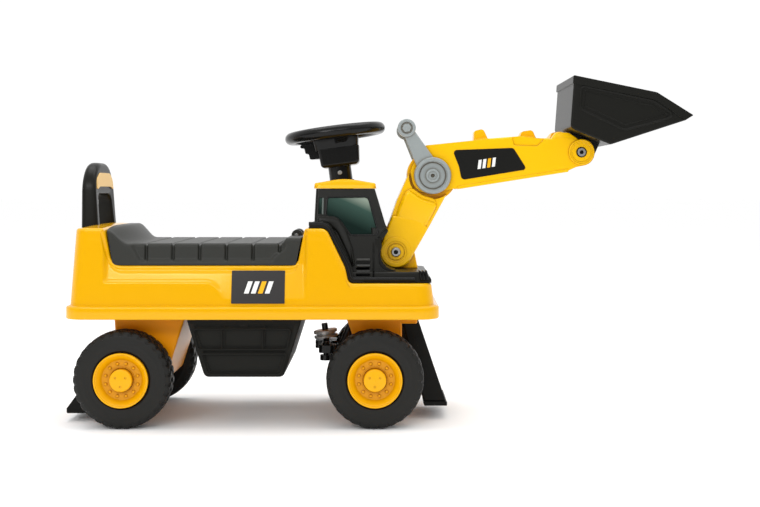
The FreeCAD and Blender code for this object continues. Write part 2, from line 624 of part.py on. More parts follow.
def knuckle():
    """Steering knuckle of the left wheel: a barrel on the kingpin, a boss for the stub, a steering arm."""
    x, y = FRONT_X, KINGPIN_Y
    barrel = rod((x, y, 52.4), (x, y, 111.6), 10.5)
    boss = rod_y(x, WHEEL_R, 9.5, y, 84)
    end = x - STEER_ARM
    arm = fused(block(end, x, y - 7, y + 7, 95, 103), rod((end, y, 95), (end, y, 103), 9),
                rod((end, y, 103), (end, y, 120), 4), Part.makeCone(5.6, 3.6, 3.5, Vector(end, y, 119.6)))
    made = fused(barrel, boss, arm)
    made = made.cut(rod((x, y, 40), (x, y, 120), KINGPIN_R + RUN))
    return made.cut(rod_y(x, WHEEL_R, AXLE_R + FIT, y + 6.5, 90))


def kingpins():
    pin = fused(rod((FRONT_X, KINGPIN_Y, 40), (FRONT_X, KINGPIN_Y, 123), KINGPIN_R),
                rod((FRONT_X, KINGPIN_Y, 40), (FRONT_X, KINGPIN_Y, 43.9), 7))
    return Part.makeCompound([pin, mirrored(pin)])


def push_nut(x):
    return ring_y(x, WHEEL_R, 8.5, AXLE_R + FIT, 127, 128.6)


# ---------------------------------------------------------------- wheels
def tyre(x):
    """Plastic tyre of a left wheel: a full, nearly square-shouldered ring with a step for the rim's lip."""
    y, half = WHEEL_Y, TYRE_W / 2
    section = [(38.2, y - half + 2.5), (57, y - half, 5), (67, y - half + 1, 5), (73.7, y - half + 5, 4),
               (WHEEL_R, y), (73.7, y + half - 5, 4), (67, y + half - 1, 5), (57, y + half, 5),
               (41.6, y + half - 1.5), (41.6, y + half - 4.5), (38.2, y + half - 4.5)]
    return turned(section, x, WHEEL_R)


def wheel_disc(x):
    """Yellow rim and web of a left wheel, with twelve studs, on a hub tube that turns on the axle."""
    y = WHEEL_Y
    section = [(AXLE_R + RUN, y - 20), (11, y - 20), (11, y + 12.5), (34.5, y + 12.5), (34.5, y - 18),
               (38.1, y - 18), (38.1, y + 18.1), (RIM_R, y + 18.1), (RIM_R, y + 23, 1.5),
               (38.5, y + 25, 2), (31.5, y + 17, 2), (30, y + 15.5, 1), (AXLE_R + RUN, y + 15.5)]
    disc = turned(section, x, WHEEL_R)
    for i in range(12):
        angle = math.radians(30 * i + 15)
        centre = Vector(x + 25 * math.cos(angle), y + 15.2, WHEEL_R + 25 * math.sin(angle))
        disc = disc.fuse(Part.makeSphere(2.0, centre))
    return disc.removeSplitter()


def hub_cap(x):
    """Yellow cap over the end of a left axle, with three dimples."""
    y = WHEEL_Y
    section = [(14, y + 15.6), (17.3, y + 15.6), (17, y + 25, 2.5), (0, y + 26.5), (0, y + 22.5),
               (14, y + 21.5)]
    cap = turned(section, x, WHEEL_R)
    for i in range(3):
        angle = math.radians(120 * i + 30)
        centre = (x + 9 * math.cos(angle), WHEEL_R + 9 * math.sin(angle))
        cap = cap.cut(rod_y(*centre, 1.8, y + 25, y + 30))
    return cap


# ---------------------------------------------------------------- arm
def boom():
    """The boom along +X from its pivot: ears over the arm base, a hollow body, a tongue into the stick."""
    body = side_slab([(20, -26.5), (58, -30.5, 20), (119, -33.5), (150, -33.5), (150, 35), (118, 35, 8),
                      (75, 33.8, 20), (20, 27.5)], -40, 40)
    body = body.cut(rod_y(0, 0, 46.5, -31, 31)).cut(rod_y(BOOM_LEN, 0, 37.3, -60, 60))
    shadow = block(0, 200, -60, 60, -27, 120)
    shadow.rotate(Vector(0, 0, 0), Vector(0, 1, 0), BOOM_ANGLE - STICK_ANGLE)
    shadow.translate(Vector(BOOM_LEN, 0, 0))
    behind = block(BOOM_LEN, 300, -60, 60, -120, 120)
    body = body.cut(shadow).cut(behind)
    body = softened(body, 4, lambda b: b.YLength < 0.1 and b.XLength > 25 and abs(b.YMax) > 39)
    panel = both(side_slab([(60, -25, 5), (104, -25, 9), (99, 0, 30), (104, 26, 9), (60, 26, 5)],
                           39.9, 42.2))
    panel = softened(panel, 1.6, lambda b: b.YLength < 0.1 and abs(b.Center.y) > 42)
    ears = both(side_slab([(-24.3, -24.3, 24.2), (56, -30, 4), (62, -10, 6), (50, 30, 4),
                           (-24.3, 24.3, 24.2)], 31, 44))
    ears = softened(ears, 3, lambda b: b.YLength < 0.1 and abs(b.Center.y) > 43)
    tongue = fused(rod_y(BOOM_LEN, 0, 40, -24.6, 24.6), block(96, BOOM_LEN, -24.6, 24.6, -32, 33))
    tongue = tongue.cut(shadow.cut(rod_y(BOOM_LEN, 0, 40, -60, 60)))
    hollow = block(56, 88, -34, 34, -24, 27)
    made = fused(body, panel, ears, tongue).cut(hollow)
    made = made.cut(rod_y(0, 0, 6 + RUN, -60, 60)).cut(both(rod_y(0, 0, 7.5, 40, 60)))
    made = made.cut(both(ring_y(0, 0, 14.2, 12.4, 43, 60)))
    return made.cut(rod_y(BOOM_LEN, 0, 7 + RUN, -60, 60))


def halves(shape, place):
    """A hollow arm split down the middle into its left and right shells."""
    left = shape.common(block(-200, 400, 0, 200, -200, 200))
    right = shape.common(block(-200, 400, -200, 0, -200, 200))
    return place(left), place(right)


STICK_SIDE = [(-33, -26, 25), (-33, 14, 18), (-8, 49.5, 15), (76, 45), (79, 61, 5), (94, 62, 6),
              (99, 44.5, 3), (150, 40.3, 4), (155, 48, 5), (172, 48, 6), (176, 32.8, 4), (197, 29.2, 4),
              (202, 38.5, 5), (218, 38.5, 5), (223.5, 26.5, 8), (241, 20.6, 20), (260.6, 20, 19.5),
              (260.6, -20.8, 20.4), (228, -22, 12), (212, -26.5, 6)]


STICK_KNOBS = [(74, 45, 101, 44.4), (146, 40.7, 177, 32.5), (195, 29.3, 224, 26.4)]
KNOB_HALF = 13.0                # the three knobs on the stick's back are narrower than the stick


def stick():
    """The stick along +X from the elbow: cheeks round the boom's tongue, a hollow body and a fork."""
    body = side_slab(STICK_SIDE, -STICK_HALF, STICK_HALF)
    for x0, z0, x1, z1 in STICK_KNOBS:
        body = body.cut(both(side_slab([(x0, z0), (x1, z1), (x1, 80), (x0, 80)], KNOB_HALF, 60)))
    body = softened(body, 3, lambda b: b.YLength < 0.1 and b.ZMax - b.ZMin < 30)
    step = side_slab([(133, 60), (135.5, 27.5, 4), (172, 20.3, 6), (183, 28, 8), (199, 60)],
                     STICK_HALF - 1.6, STICK_HALF + 5)
    body = body.cut(both(step))
    body = body.cut(rod_y(0, 0, 42, -CHEEK_IN, CHEEK_IN))
    swept = block(-60, 0, -CHEEK_IN, CHEEK_IN, -60, 60)
    body = body.cut(swept)
    below = side_slab([(0, -60), (62, -60), (44, -18), (0, 0)], -CHEEK_IN, CHEEK_IN)
    body = body.cut(below)
    fork = fused(rod_y(STICK_LEN, 0, 27, -22, 22), block(STICK_LEN, STICK_LEN + 40, -22, 22, -40, 60),
                 block(STICK_LEN - 19, STICK_LEN + 20, -22, 22, 0, 60))
    body = body.cut(fork)
    hollow = side_slab([(64, -22), (50, 0), (50, 38), (146, 35), (200, 24), (206, -22)], -34.5, 34.5)
    body = body.cut(hollow)
    ear_rings = both(fused(ring_y(STICK_LEN, 0, 19.4, 15.5, STICK_HALF - 1, STICK_HALF + 1.2),
                           ring_y(STICK_LEN, 0, 15.6, 8, STICK_HALF - 1, STICK_HALF + 0.5)))
    body = fused(body, ear_rings)
    body = body.cut(rod_y(0, 0, 7 + FIT, -60, 60))
    return body.cut(rod_y(STICK_LEN, 0, 5 + FIT, -60, 60))


def lever():
    """Grey lever on the left of the elbow: a ringed disc, a tapering arm and a round end for the grip."""
    knob = (LEVER_LEN * math.cos(math.radians(LEVER_ANGLE)), LEVER_LEN * math.sin(math.radians(LEVER_ANGLE)))
    inner = STICK_HALF + GAP
    disc = softened(rod_y(0, 0, LEVER_R, inner, LEVER_OUT), 2, lambda b: b.YMin > LEVER_OUT - 0.1)
    disc = disc.cut(ring_y(0, 0, 22, 9.5, LEVER_OUT - 3.5, LEVER_OUT + 1))
    disc = disc.cut(ring_y(0, 0, 22, 20, LEVER_OUT - 4.5, LEVER_OUT + 1))
    boss = softened(rod_y(0, 0, 9.5, LEVER_OUT - 5, LEVER_OUT + 1), 1.2, lambda b: b.YMin > LEVER_OUT)
    along = Vector(knob[0], 0, knob[1]).normalize()
    across = Vector(-along.z, 0, along.x)
    foot, head = Vector(0, 0, 0) + along * 20, Vector(knob[0], 0, knob[1]) - along * 6
    corners = [foot + across * 15.5, head + across * 8.5, head - across * 8.5, foot - across * 15.5]
    arm = side_slab([(p.x, p.z) for p in corners], inner + 2, LEVER_OUT - 3)
    arm = softened(arm, 2, lambda b: b.YMin > LEVER_OUT - 3.1 and b.ZLength > 20)
    end = softened(rod_y(*knob, KNOB_R, inner, LEVER_OUT), 2, lambda b: b.YMin > LEVER_OUT - 0.1)
    end = end.cut(rod_y(*knob, 9.5, LEVER_OUT - 2, LEVER_OUT + 1))
    arm = arm.cut(rod_y(0, 0, LEVER_R - 3, 0, 90))
    made = fused(disc, boss, arm, end)
    made = made.cut(rod_y(0, 0, 7 + FIT, 0, 60))
    return made.cut(rod_y(*knob, 4 + FIT, 0, 60)), knob


def lever_grip(knob):
    """Grey bar between the two levers, waisted for the fingers."""
    half = STICK_HALF + GAP - 0.1
    section = [(4 + FIT, -half), (10, -half, 1), (10, -half + 8, 2), (8.2, -half + 16, 8),
               (8.2, half - 16, 8), (10, half - 8, 2), (10, half, 1), (4 + FIT, half)]
    return turned(section, *knob)


def lever_bolts(knob):
    """One bolt through both levers and the grip, with a hexagon head at each end."""
    head = softened(hexagon(*knob, 7.2, LEVER_OUT - 1.9, LEVER_OUT + 1.4), 0.5,
                    lambda b: b.YMin > LEVER_OUT + 1.3)
    return fused(rod_y(*knob, 4, -LEVER_OUT + 1.8, LEVER_OUT - 1.8), both(head))


def elbow_bolt():
    shank = rod_y(0, 0, 7, -LEVER_OUT - 0.5, LEVER_OUT + 0.5)
    return shank.cut(both(hexagon(0, 0, 4.4, LEVER_OUT - 4, LEVER_OUT + 5)))


def bucket_pin():
    """Steel tube through the fork and the bucket's lug, flared at both ends."""
    end = STICK_HALF + 1.4
    flare = both(Part.makeCone(5, 6.6, 1.0, Vector(STICK_LEN, end - 0.2, 0), Vector(0, 1, 0)))
    pin = fused(rod_y(STICK_LEN, 0, 5, -end, end), flare)
    return pin.cut(rod_y(STICK_LEN, 0, 3.2, -60, 60))


STICK_LABEL = [(38, 35, 5), (134, 23.5, 6), (150, -13.5, 4), (45, -14, 6), (44, 8, 10)]


def stick_labels():
    """Thin dark plates on both sides of the stick."""
    plate = side_slab(STICK_LABEL, STICK_HALF + 0.02, STICK_HALF + 0.7)
    return Part.makeCompound([plate, mirrored(plate)])


BUCKET_SIDE = [(306.5, 538.8, 3), (434.5, 512, 12), (489.5, 477, 1), (480, 469.5, 1), (363, 431.5, 5),
               (300.5, 457.2, 9)]


def bucket():
    """Black scoop, open at the top, with a thick rim, pressed side panels and a lug on the wrist pin."""
    outer = side_slab(BUCKET_SIDE, -BUCKET_HALF + 2, BUCKET_HALF - 2)
    outer = softened(outer, 2.5, lambda b: b.YLength < 0.1 and b.ZMin < 455 and b.XMax < 480)
    inner_side = [(311.5, 560), (311.5, 520), (306, 460.5, 6), (364, 436, 5), (478, 472.9), (510, 482),
                  (510, 560)]
    inner = side_slab(inner_side, -BUCKET_HALF + 5, BUCKET_HALF - 5)
    rim = side_slab([(304.8, 539.3, 2), (434.5, 512.6, 12), (491, 477, 1), (478, 469, 1),
                     (434, 500.5, 12), (304, 526.8, 1)], -BUCKET_HALF, BUCKET_HALF)
    rim_void = side_slab([(311.5, 560), (311.5, 523), (434, 497), (456, 483), (481, 473.2), (510, 482),
                          (510, 560)], -BUCKET_HALF + 5, BUCKET_HALF - 5)
    press = both(side_slab([(319, 520.5, 3), (428, 497.5, 12), (457, 478.5, 2), (451, 474, 2),
                            (385, 456, 12), (318, 488, 6)], BUCKET_HALF - 3.2, BUCKET_HALF))
    made = fused(outer, rim).cut(inner).cut(rim_void).cut(press)
    x, z = WRIST
    lug = side_slab([(x - 17.5, z - 17.5, 17.4), (x + 17.5, z - 17.5, 17.4), (x + 32, z + 14.5, 4),
                     (x + 33, z + 18), (x - 14, z + 35), (x - 17.5, z + 17)], -21, 21)
    inside = side_slab(inner_side, -30, 30)
    made = fused(made, lug.cut(inside))
    return made.cut(rod_y(x, z, 5 + RUN, -60, 60))


# ---------------------------------------------------------------- labels and screws
def body_labels():
    """Dark plates on the body's sides, and a yellow one on the backrest."""
    lean = 14.0 / 64.0
    top, bottom = 239, 190
    lower, upper = [BODY_HALF + 0.5 - (z - 186) * lean for z in (bottom, top)]
    plate = end_slab([(lower + 0.05, bottom), (lower + 0.75, bottom), (upper + 0.75, top),
                      (upper + 0.05, top)], -219.5, -139)
    badge = end_slab(badge_outline(0.3), -439.05, -438.3)
    return Part.makeCompound([plate, mirrored(plate), badge])


def body_screws():
    """Screws that hold the floor panel to the body."""
    screws = [screw_z(x, y, BODY_LOW - 0.1, 9) for x, y in SCREW_PLACES]
    return Part.makeCompound(screws + [mirrored(screw) for screw in screws])


# ---------------------------------------------------------------- assembly
def build():
    NODES["body_shell"] = body_shell()
    NODES["backrest"] = backrest()
    NODES["body_shell"] = NODES["body_shell"].cut(backrest_cavity())
    NODES["seat_lid"] = seat_lid()
    NODES["storage_bin"] = storage_bin()
    NODES["floor_panel"] = floor_panel()
    NODES["rear_axle_housing"] = rear_axle_housing()
    NODES["front_axle_housing"] = front_axle_housing()
    NODES["front_support"] = front_support()
    NODES["rear_support"] = rear_support()
    NODES["cab_body"] = cab_body()
    NODES["cab_windows"] = cab_windows()
    NODES["cab_roof"] = cab_roof()
    NODES["column_bushes"] = column_bushes()
    NODES["body_shell"] = NODES["body_shell"].cut(column_rod(9, -300, -140))
    NODES["arm_base"] = arm_base()
    NODES["boom_pivot_bolt"] = boom_pivot_bolt()
    NODES["seat_hinge_pin"] = rod_y(*SEAT_HINGE, 3, -37, 37)
    NODES["body_labels"] = body_labels()
    NODES["body_screws"] = body_screws()

    NODES["steering_wheel"] = steering_wheel()
    NODES["horn_button"] = horn_button()
    NODES["sound_module"] = sound_module()
    NODES["battery_cells"] = battery_cells()
    NODES["steering_sleeve"] = steering_sleeve()
    NODES["sleeve_screw"] = sleeve_screw()
    NODES["steering_shaft"] = steering_shaft()
    NODES["steering_washer"] = steering_washer()
    NODES["tie_rod"] = tie_rod()
    NODES["kingpins"] = kingpins()
    stub = rod_y(FRONT_X, WHEEL_R, AXLE_R, KINGPIN_Y + 7, AXLE_END)
    for side, flip in (("left", lambda s: s), ("right", mirrored)):
        NODES["knuckle_" + side] = flip(knuckle())
        NODES["stub_axle_" + side] = flip(stub)
        NODES["push_nut_" + side] = flip(push_nut(FRONT_X))
        for place, x in (("front", FRONT_X), ("rear", REAR_X)):
            NODES[f"tyre_{place}_{side}"] = flip(tyre(x))
            NODES[f"wheel_disc_{place}_{side}"] = flip(wheel_disc(x))
            NODES[f"hub_cap_{place}_{side}"] = flip(hub_cap(x))
    NODES["rear_axle"] = rod_y(REAR_X, WHEEL_R, AXLE_R, -AXLE_END, AXLE_END)
    NODES["rear_push_nuts"] = Part.makeCompound([push_nut(REAR_X), mirrored(push_nut(REAR_X))])

    NODES["boom_shell_left"], NODES["boom_shell_right"] = halves(boom(), on_boom)
    NODES["stick_shell_left"], NODES["stick_shell_right"] = halves(stick(), on_stick)
    left_lever, knob = lever()
    NODES["lever_left"] = on_stick(left_lever)
    NODES["lever_right"] = on_stick(mirrored(left_lever))
    NODES["lever_grip"] = on_stick(lever_grip(knob))
    NODES["lever_bolt"] = on_stick(lever_bolts(knob))
    NODES["elbow_bolt"] = on_stick(elbow_bolt())
    NODES["stick_labels"] = on_stick(stick_labels())
    NODES["bucket_pin"] = on_stick(bucket_pin())
    NODES["bucket"] = bucket()


def export():
    os.makedirs("parts", exist_ok=True)
    for name in os.listdir("parts"):
        os.remove(os.path.join("parts", name))
    for name, shape in NODES.items():
        solids = shape.Solids
        whole = solids[0] if len(solids) == 1 else Part.makeCompound(solids)
        whole.exportStep(f"parts/{name}.step")
        print(f"{name}: {len(solids)} solids, {whole.Volume / 1000:.1f} cm3, valid {whole.isValid()}")


if __name__ == "__main__":
    build()
    export()
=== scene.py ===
import math

import bmesh
import bpy
import numpy as np
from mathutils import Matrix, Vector


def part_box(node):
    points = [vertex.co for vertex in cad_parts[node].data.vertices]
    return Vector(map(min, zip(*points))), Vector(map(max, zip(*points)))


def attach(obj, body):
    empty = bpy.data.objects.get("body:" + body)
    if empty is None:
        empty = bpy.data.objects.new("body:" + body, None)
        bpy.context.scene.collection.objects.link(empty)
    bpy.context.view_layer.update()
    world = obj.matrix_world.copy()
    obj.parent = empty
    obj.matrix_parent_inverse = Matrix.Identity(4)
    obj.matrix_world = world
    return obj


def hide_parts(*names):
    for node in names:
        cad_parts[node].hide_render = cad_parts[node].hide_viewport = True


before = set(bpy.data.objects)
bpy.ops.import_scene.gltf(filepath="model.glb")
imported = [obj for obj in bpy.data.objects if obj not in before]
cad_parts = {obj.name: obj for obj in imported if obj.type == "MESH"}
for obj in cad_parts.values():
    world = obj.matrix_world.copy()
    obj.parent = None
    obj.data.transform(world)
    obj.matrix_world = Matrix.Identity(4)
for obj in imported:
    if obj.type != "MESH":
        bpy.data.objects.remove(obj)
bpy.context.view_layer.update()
MM = 0.001
BOTH_SIDES = (1, -1)            # left, then right

# -------- colours (linear)
YELLOW = (0.76, 0.385, 0.0005)
# painted shade: the body's yellow plastic, darkened to orange for the parts under the body
SHADE_ORANGE = (0.80, 0.29, 0.001)
WARM = (1.0, 0.86, 0.50)        # tint of the reflections on the yellow plastic
BLACK = (0.0088, 0.0088, 0.0072)
SEAT_BLACK = (0.0165, 0.017, 0.0135)
TYRE_BLACK = (0.011, 0.0108, 0.0095)
GREY = (0.27, 0.30, 0.30)


# -------- materials
def material(name, colour, rough, coat=0.0, grain=0.0, grain_size=0.6, metal=0.0, edge=0.0, mottle=0.0,
             specular=0.5, tint=(1, 1, 1), crease_shade=0.0):
    """A moulded plastic or plated metal. grain_size, edge (a rounded edge) and the reach of the painted shade
    in creases are in millimetres; mottle varies the roughness in blotches."""
    mat = bpy.data.materials.new(name)
    mat.use_nodes = True
    mat.diffuse_color = (*colour, 1)
    tree = mat.node_tree
    shader = tree.nodes["Principled BSDF"]
    shader.inputs["Base Color"].default_value = (*colour, 1)
    shader.inputs["Roughness"].default_value = rough
    shader.inputs["Metallic"].default_value = metal
    shader.inputs["Specular IOR Level"].default_value = specular
    shader.inputs["Specular Tint"].default_value = (*tint, 1)
    shader.inputs["Coat Weight"].default_value = coat
    shader.inputs["Coat Roughness"].default_value = 0.08
    place = tree.nodes.new("ShaderNodeTexCoord")
    if mottle:
        blotch = tree.nodes.new("ShaderNodeTexNoise")
        blotch.inputs["Scale"].default_value = 14
        blotch.inputs["Detail"].default_value = 3
        tree.links.new(place.outputs["Object"], blotch.inputs["Vector"])
        spread = tree.nodes.new("ShaderNodeMapRange")
        spread.inputs["To Min"].default_value = rough - mottle
        spread.inputs["To Max"].default_value = rough + mottle
        tree.links.new(blotch.outputs["Fac"], spread.inputs["Value"])
        tree.links.new(spread.outputs["Result"], shader.inputs["Roughness"])
    # painted shade: an ambient occlusion node darkens the base colour in creases and hollows
    if crease_shade:
        inside = tree.nodes.new("ShaderNodeAmbientOcclusion")
        inside.samples = 8
        inside.inputs["Distance"].default_value = crease_shade * MM
        spread = tree.nodes.new("ShaderNodeValToRGB")
        spread.color_ramp.elements[0].position = 0.35
        spread.color_ramp.elements[0].color = (0.55 * colour[0], 0.42 * colour[1], 0.3 * colour[2], 1)
        spread.color_ramp.elements[1].position = 0.95
        spread.color_ramp.elements[1].color = (*colour, 1)
        tree.links.new(inside.outputs["AO"], spread.inputs["Fac"])
        tree.links.new(spread.outputs["Color"], shader.inputs["Base Color"])
    normal = None
    if edge:
        bevel = tree.nodes.new("ShaderNodeBevel")
        bevel.samples = 6
        bevel.inputs["Radius"].default_value = edge * MM
        normal = bevel.outputs["Normal"]
    if grain:
        noise = tree.nodes.new("ShaderNodeTexNoise")
        noise.inputs["Scale"].default_value = 1 / (grain_size * MM)
        noise.inputs["Detail"].default_value = 2
        tree.links.new(place.outputs["Object"], noise.inputs["Vector"])
        bump = tree.nodes.new("ShaderNodeBump")
        bump.inputs["Strength"].default_value = grain
        bump.inputs["Distance"].default_value = 0.2 * MM
        tree.links.new(noise.outputs["Fac"], bump.inputs["Height"])
        if normal:
            tree.links.new(normal, bump.inputs["Normal"])
        normal = bump.outputs["Normal"]
    if normal:
        tree.links.new(normal, shader.inputs["Normal"])
    return mat


def paint_web_shade(mat, low, high, shade):
    """Paints shade on what lies within low of the toy's middle plane and fades it out by high: a wheel's
    sunken web.
    """
    tree = mat.node_tree
    shader = tree.nodes["Principled BSDF"]
    place = tree.nodes.new("ShaderNodeTexCoord")
    split = tree.nodes.new("ShaderNodeSeparateXYZ")
    tree.links.new(place.outputs["Object"], split.inputs["Vector"])
    depth = tree.nodes.new("ShaderNodeMath")
    depth.operation = "ABSOLUTE"
    tree.links.new(split.outputs["Y"], depth.inputs[0])
    spread = tree.nodes.new("ShaderNodeMapRange")
    spread.inputs["From Min"].default_value, spread.inputs["From Max"].default_value = low * MM, high * MM
    spread.inputs["To Min"].default_value, spread.inputs["To Max"].default_value = 1, 0
    tree.links.new(depth.outputs["Value"], spread.inputs["Value"])
    blend = tree.nodes.new("ShaderNodeMix")
    blend.data_type, blend.blend_type = "RGBA", "MULTIPLY"
    blend.inputs[7].default_value = (*shade, 1)
    tree.links.new(spread.outputs["Result"], blend.inputs[0])
    tree.links.new(shader.inputs["Base Color"].links[0].from_socket, blend.inputs[6])
    tree.links.new(blend.outputs[2], shader.inputs["Base Color"])
    return mat


WEB_FACE, WEB_RIM = 126.2, 130.5        # distances of a wheel's web and of its rim from the middle plane
MATERIALS = {
    "body": material("body_yellow", YELLOW, 0.115, mottle=0.02, specular=0.5, tint=WARM),
    # painted light: the parts' and the arm's yellows are lighter copies of the body's yellow plastic,
    # standing in for light they lack
    "yellow": material("part_yellow_painted_light", (0.82, 0.43, 0.0006), 0.22, mottle=0.03, edge=1.4, specular=0.45,
                       tint=WARM, crease_shade=5),
    "arm": material("arm_yellow_painted_light", (0.90, 0.50, 0.0008), 0.2, mottle=0.03, edge=1.4, specular=0.45,
                    tint=WARM, crease_shade=5),
    # painted shade for the floor panel and the axle housings under the body
    "under": material("under_yellow_painted_shade", SHADE_ORANGE, 0.36, edge=1.2, specular=0.3, tint=WARM, crease_shade=9),
    # painted shade darkens the wheels' sunken webs and their creases
    "hub": paint_web_shade(material("hub_yellow", (0.82, 0.40, 0.0006), 0.26, edge=0.8, specular=0.45,
                              tint=WARM, crease_shade=9), WEB_FACE, WEB_RIM, (0.82, 0.72, 0.55)),
    "black": material("part_black", BLACK, 0.30, grain=0.2, edge=1.0, specular=0.14),
    "bin": material("bin_black", BLACK, 0.6, grain=0.25, edge=1.0, specular=0.14),
    "frame_grey": material("frame_grey", (0.10, 0.12, 0.11), 0.3, specular=0.2),
    # painted shade: a darker copy of the black plastic, for the supports and for the dark rings in the pins'
    # wells and gaps
    "dark": material("support_black_painted_shade", (0.007, 0.007, 0.006), 0.4, edge=1.0, specular=0.1),
    "white_mark": material("white_print", (0.80, 0.80, 0.78), 0.4, specular=0.2),
    "amber_mark": material("amber_print", (0.86, 0.42, 0.002), 0.4, specular=0.2),
    "cream": material("cream_sticker", (0.86, 0.56, 0.20), 0.4, specular=0.3),
    "label": material("label_black", (0.022, 0.020, 0.020), 0.32, specular=0.2),
    "arm_label": material("arm_label_black", (0.006, 0.006, 0.005), 0.25, specular=0.2),
    "gloss_black": material("gloss_black", (0.004, 0.004, 0.0037), 0.2, edge=1.0, specular=0.22),
    # painted highlight: a lighter copy of the black plastic makes the cab's vent slats look lit along their
    # edges
    "slat": material("slat_black_painted_highlight", (0.035, 0.035, 0.032), 0.3, specular=0.3),
    "seat": material("seat_black", SEAT_BLACK, 0.42, grain=0.5, grain_size=0.7, specular=0.30),
    "tyre": material("tyre_black", TYRE_BLACK, 0.45, grain=0.3, specular=0.22),
    "grey": material("lever_grey", GREY, 0.32, coat=0.15, edge=1.0, crease_shade=6),
    "red": material("button_red", (0.55, 0.02, 0.012), 0.3, coat=0.4, edge=0.8),
    "steel": material("plated_steel", (0.36, 0.36, 0.35), 0.30, metal=1.0, edge=0.4),
    "washer": material("washer_plate", (0.62, 0.63, 0.62), 0.4, metal=0.35, edge=0.4),
    "dark_steel": material("dark_steel", (0.02, 0.02, 0.02), 0.35, specular=0.6),
    "cell": material("cell_wrap", (0.20, 0.23, 0.26), 0.35, coat=0.2),
}


def glass():
    """Dark green pane with a painted reflection that lightens it towards its top front corner."""
    mat = material("pane", (0.02, 0.04, 0.033), 0.08, specular=0.12)
    tree = mat.node_tree
    place = tree.nodes.new("ShaderNodeTexCoord")
    split = tree.nodes.new("ShaderNodeSeparateXYZ")
    tree.links.new(place.outputs["Object"], split.inputs["Vector"])
    forward = tree.nodes.new("ShaderNodeMath")
    forward.operation = "MULTIPLY_ADD"
    forward.inputs[1].default_value = 0.45
    tree.links.new(split.outputs["X"], forward.inputs[0])
    tree.links.new(split.outputs["Z"], forward.inputs[2])
    spread = tree.nodes.new("ShaderNodeMapRange")
    spread.inputs["From Min"].default_value = 0.290
    spread.inputs["From Max"].default_value = 0.347
    tree.links.new(forward.outputs["Value"], spread.inputs["Value"])
    # painted reflection: the ramp lightens the pane towards its top front corner
    ramp = tree.nodes.new("ShaderNodeValToRGB")
    ramp.color_ramp.elements[0].color = (0.001, 0.010, 0.007, 1)
    ramp.color_ramp.elements[1].color = (0.36, 0.42, 0.34, 1)
    middle = ramp.color_ramp.elements.new(0.55)
    middle.color = (0.030, 0.066, 0.052, 1)
    tree.links.new(spread.outputs["Result"], ramp.inputs["Fac"])
    tree.links.new(ramp.outputs["Color"], tree.nodes["Principled BSDF"].inputs["Base Color"])
    return mat


MATERIALS["glass"] = glass()


# -------- mesh helpers (millimetres)
def add(name, verts, faces, body, look, nodes=(), slot=None, smooth=40, weighted=True):
    """Makes one piece that rides on a body, from points in mm; nodes are the CAD nodes it stands for."""
    mesh = bpy.data.meshes.new(name)
    mesh.from_pydata([tuple(float(c) * MM for c in v) for v in verts], [],
                     [tuple(int(i) for i in f) for f in faces])
    work = bmesh.new()
    work.from_mesh(mesh)
    bmesh.ops.remove_doubles(work, verts=work.verts, dist=0.00001)
    bmesh.ops.dissolve_degenerate(work, edges=work.edges, dist=0.000005)
    bmesh.ops.recalc_face_normals(work, faces=work.faces)
    work.to_mesh(mesh)
    work.free()
    obj = bpy.data.objects.new(name, mesh)
    bpy.context.collection.objects.link(obj)
    dress(obj, look, smooth, weighted)
    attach(obj, body)
    if nodes:
        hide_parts(*nodes)
    return obj


def dress(obj, look, smooth=40, weighted=True):
    """Gives an object its material and smooth shading up to an angle in degrees."""
    obj.data.materials.clear()
    obj.data.materials.append(MATERIALS[look])
    obj.data.shade_smooth()
    obj.data.set_sharp_from_angle(angle=math.radians(smooth))
    if weighted:
        modifier = obj.modifiers.new("weighted", "WEIGHTED_NORMAL")
        modifier.keep_sharp = True


def quads(count_rows, count_cols, closed_cols=False, closed_rows=False, start=0):
    """Faces of a grid of points, row by row."""
    faces = []
    for r in range(count_rows if closed_rows else count_rows - 1):
        for c in range(count_cols if closed_cols else count_cols - 1):
            a = start + r * count_cols + c
            b = start + r * count_cols + (c + 1) % count_cols
            c2 = start + ((r + 1) % count_rows) * count_cols + (c + 1) % count_cols
            d = start + ((r + 1) % count_rows) * count_cols + c
            faces.append((a, b, c2, d))
    return faces


def smoothstep(x, low, high):
    """Rises smoothly from 0 at low to 1 at high."""
    t = np.clip((np.asarray(x, float) - low) / (high - low), 0, 1)
    return t * t * (3 - 2 * t)


def corner_arc(before, here, after, radius, step):
    """Points of the arc that rounds one corner of an outline."""
    before, here, after = (np.array(p, float) for p in (before, here, after))
    back, on = before - here, after - here
    back_len, on_len = np.linalg.norm(back), np.linalg.norm(on)
    back, on = back / back_len, on / on_len
    half = math.acos(np.clip(np.dot(back, on), -1, 1)) / 2
    if radius < 1e-6 or abs(half - math.pi / 2) < 1e-3:
        return [here]
    reach = min(radius / math.tan(half), 0.499 * back_len, 0.499 * on_len)
    radius = reach * math.tan(half)
    centre = here + (back + on) / np.linalg.norm(back + on) * (radius / math.sin(half))
    first, last = here + back * reach - centre, here + on * reach - centre
    turn = math.pi - 2 * half
    count = max(2, int(math.ceil(turn * radius / step)), int(math.ceil(turn / 0.22)))
    sign = 1 if first[0] * last[1] - first[1] * last[0] > 0 else -1
    angles = [sign * turn * i / count for i in range(count + 1)]
    return [centre + np.array([first[0] * math.cos(a) - first[1] * math.sin(a),
                               first[0] * math.sin(a) + first[1] * math.cos(a)]) for a in angles]


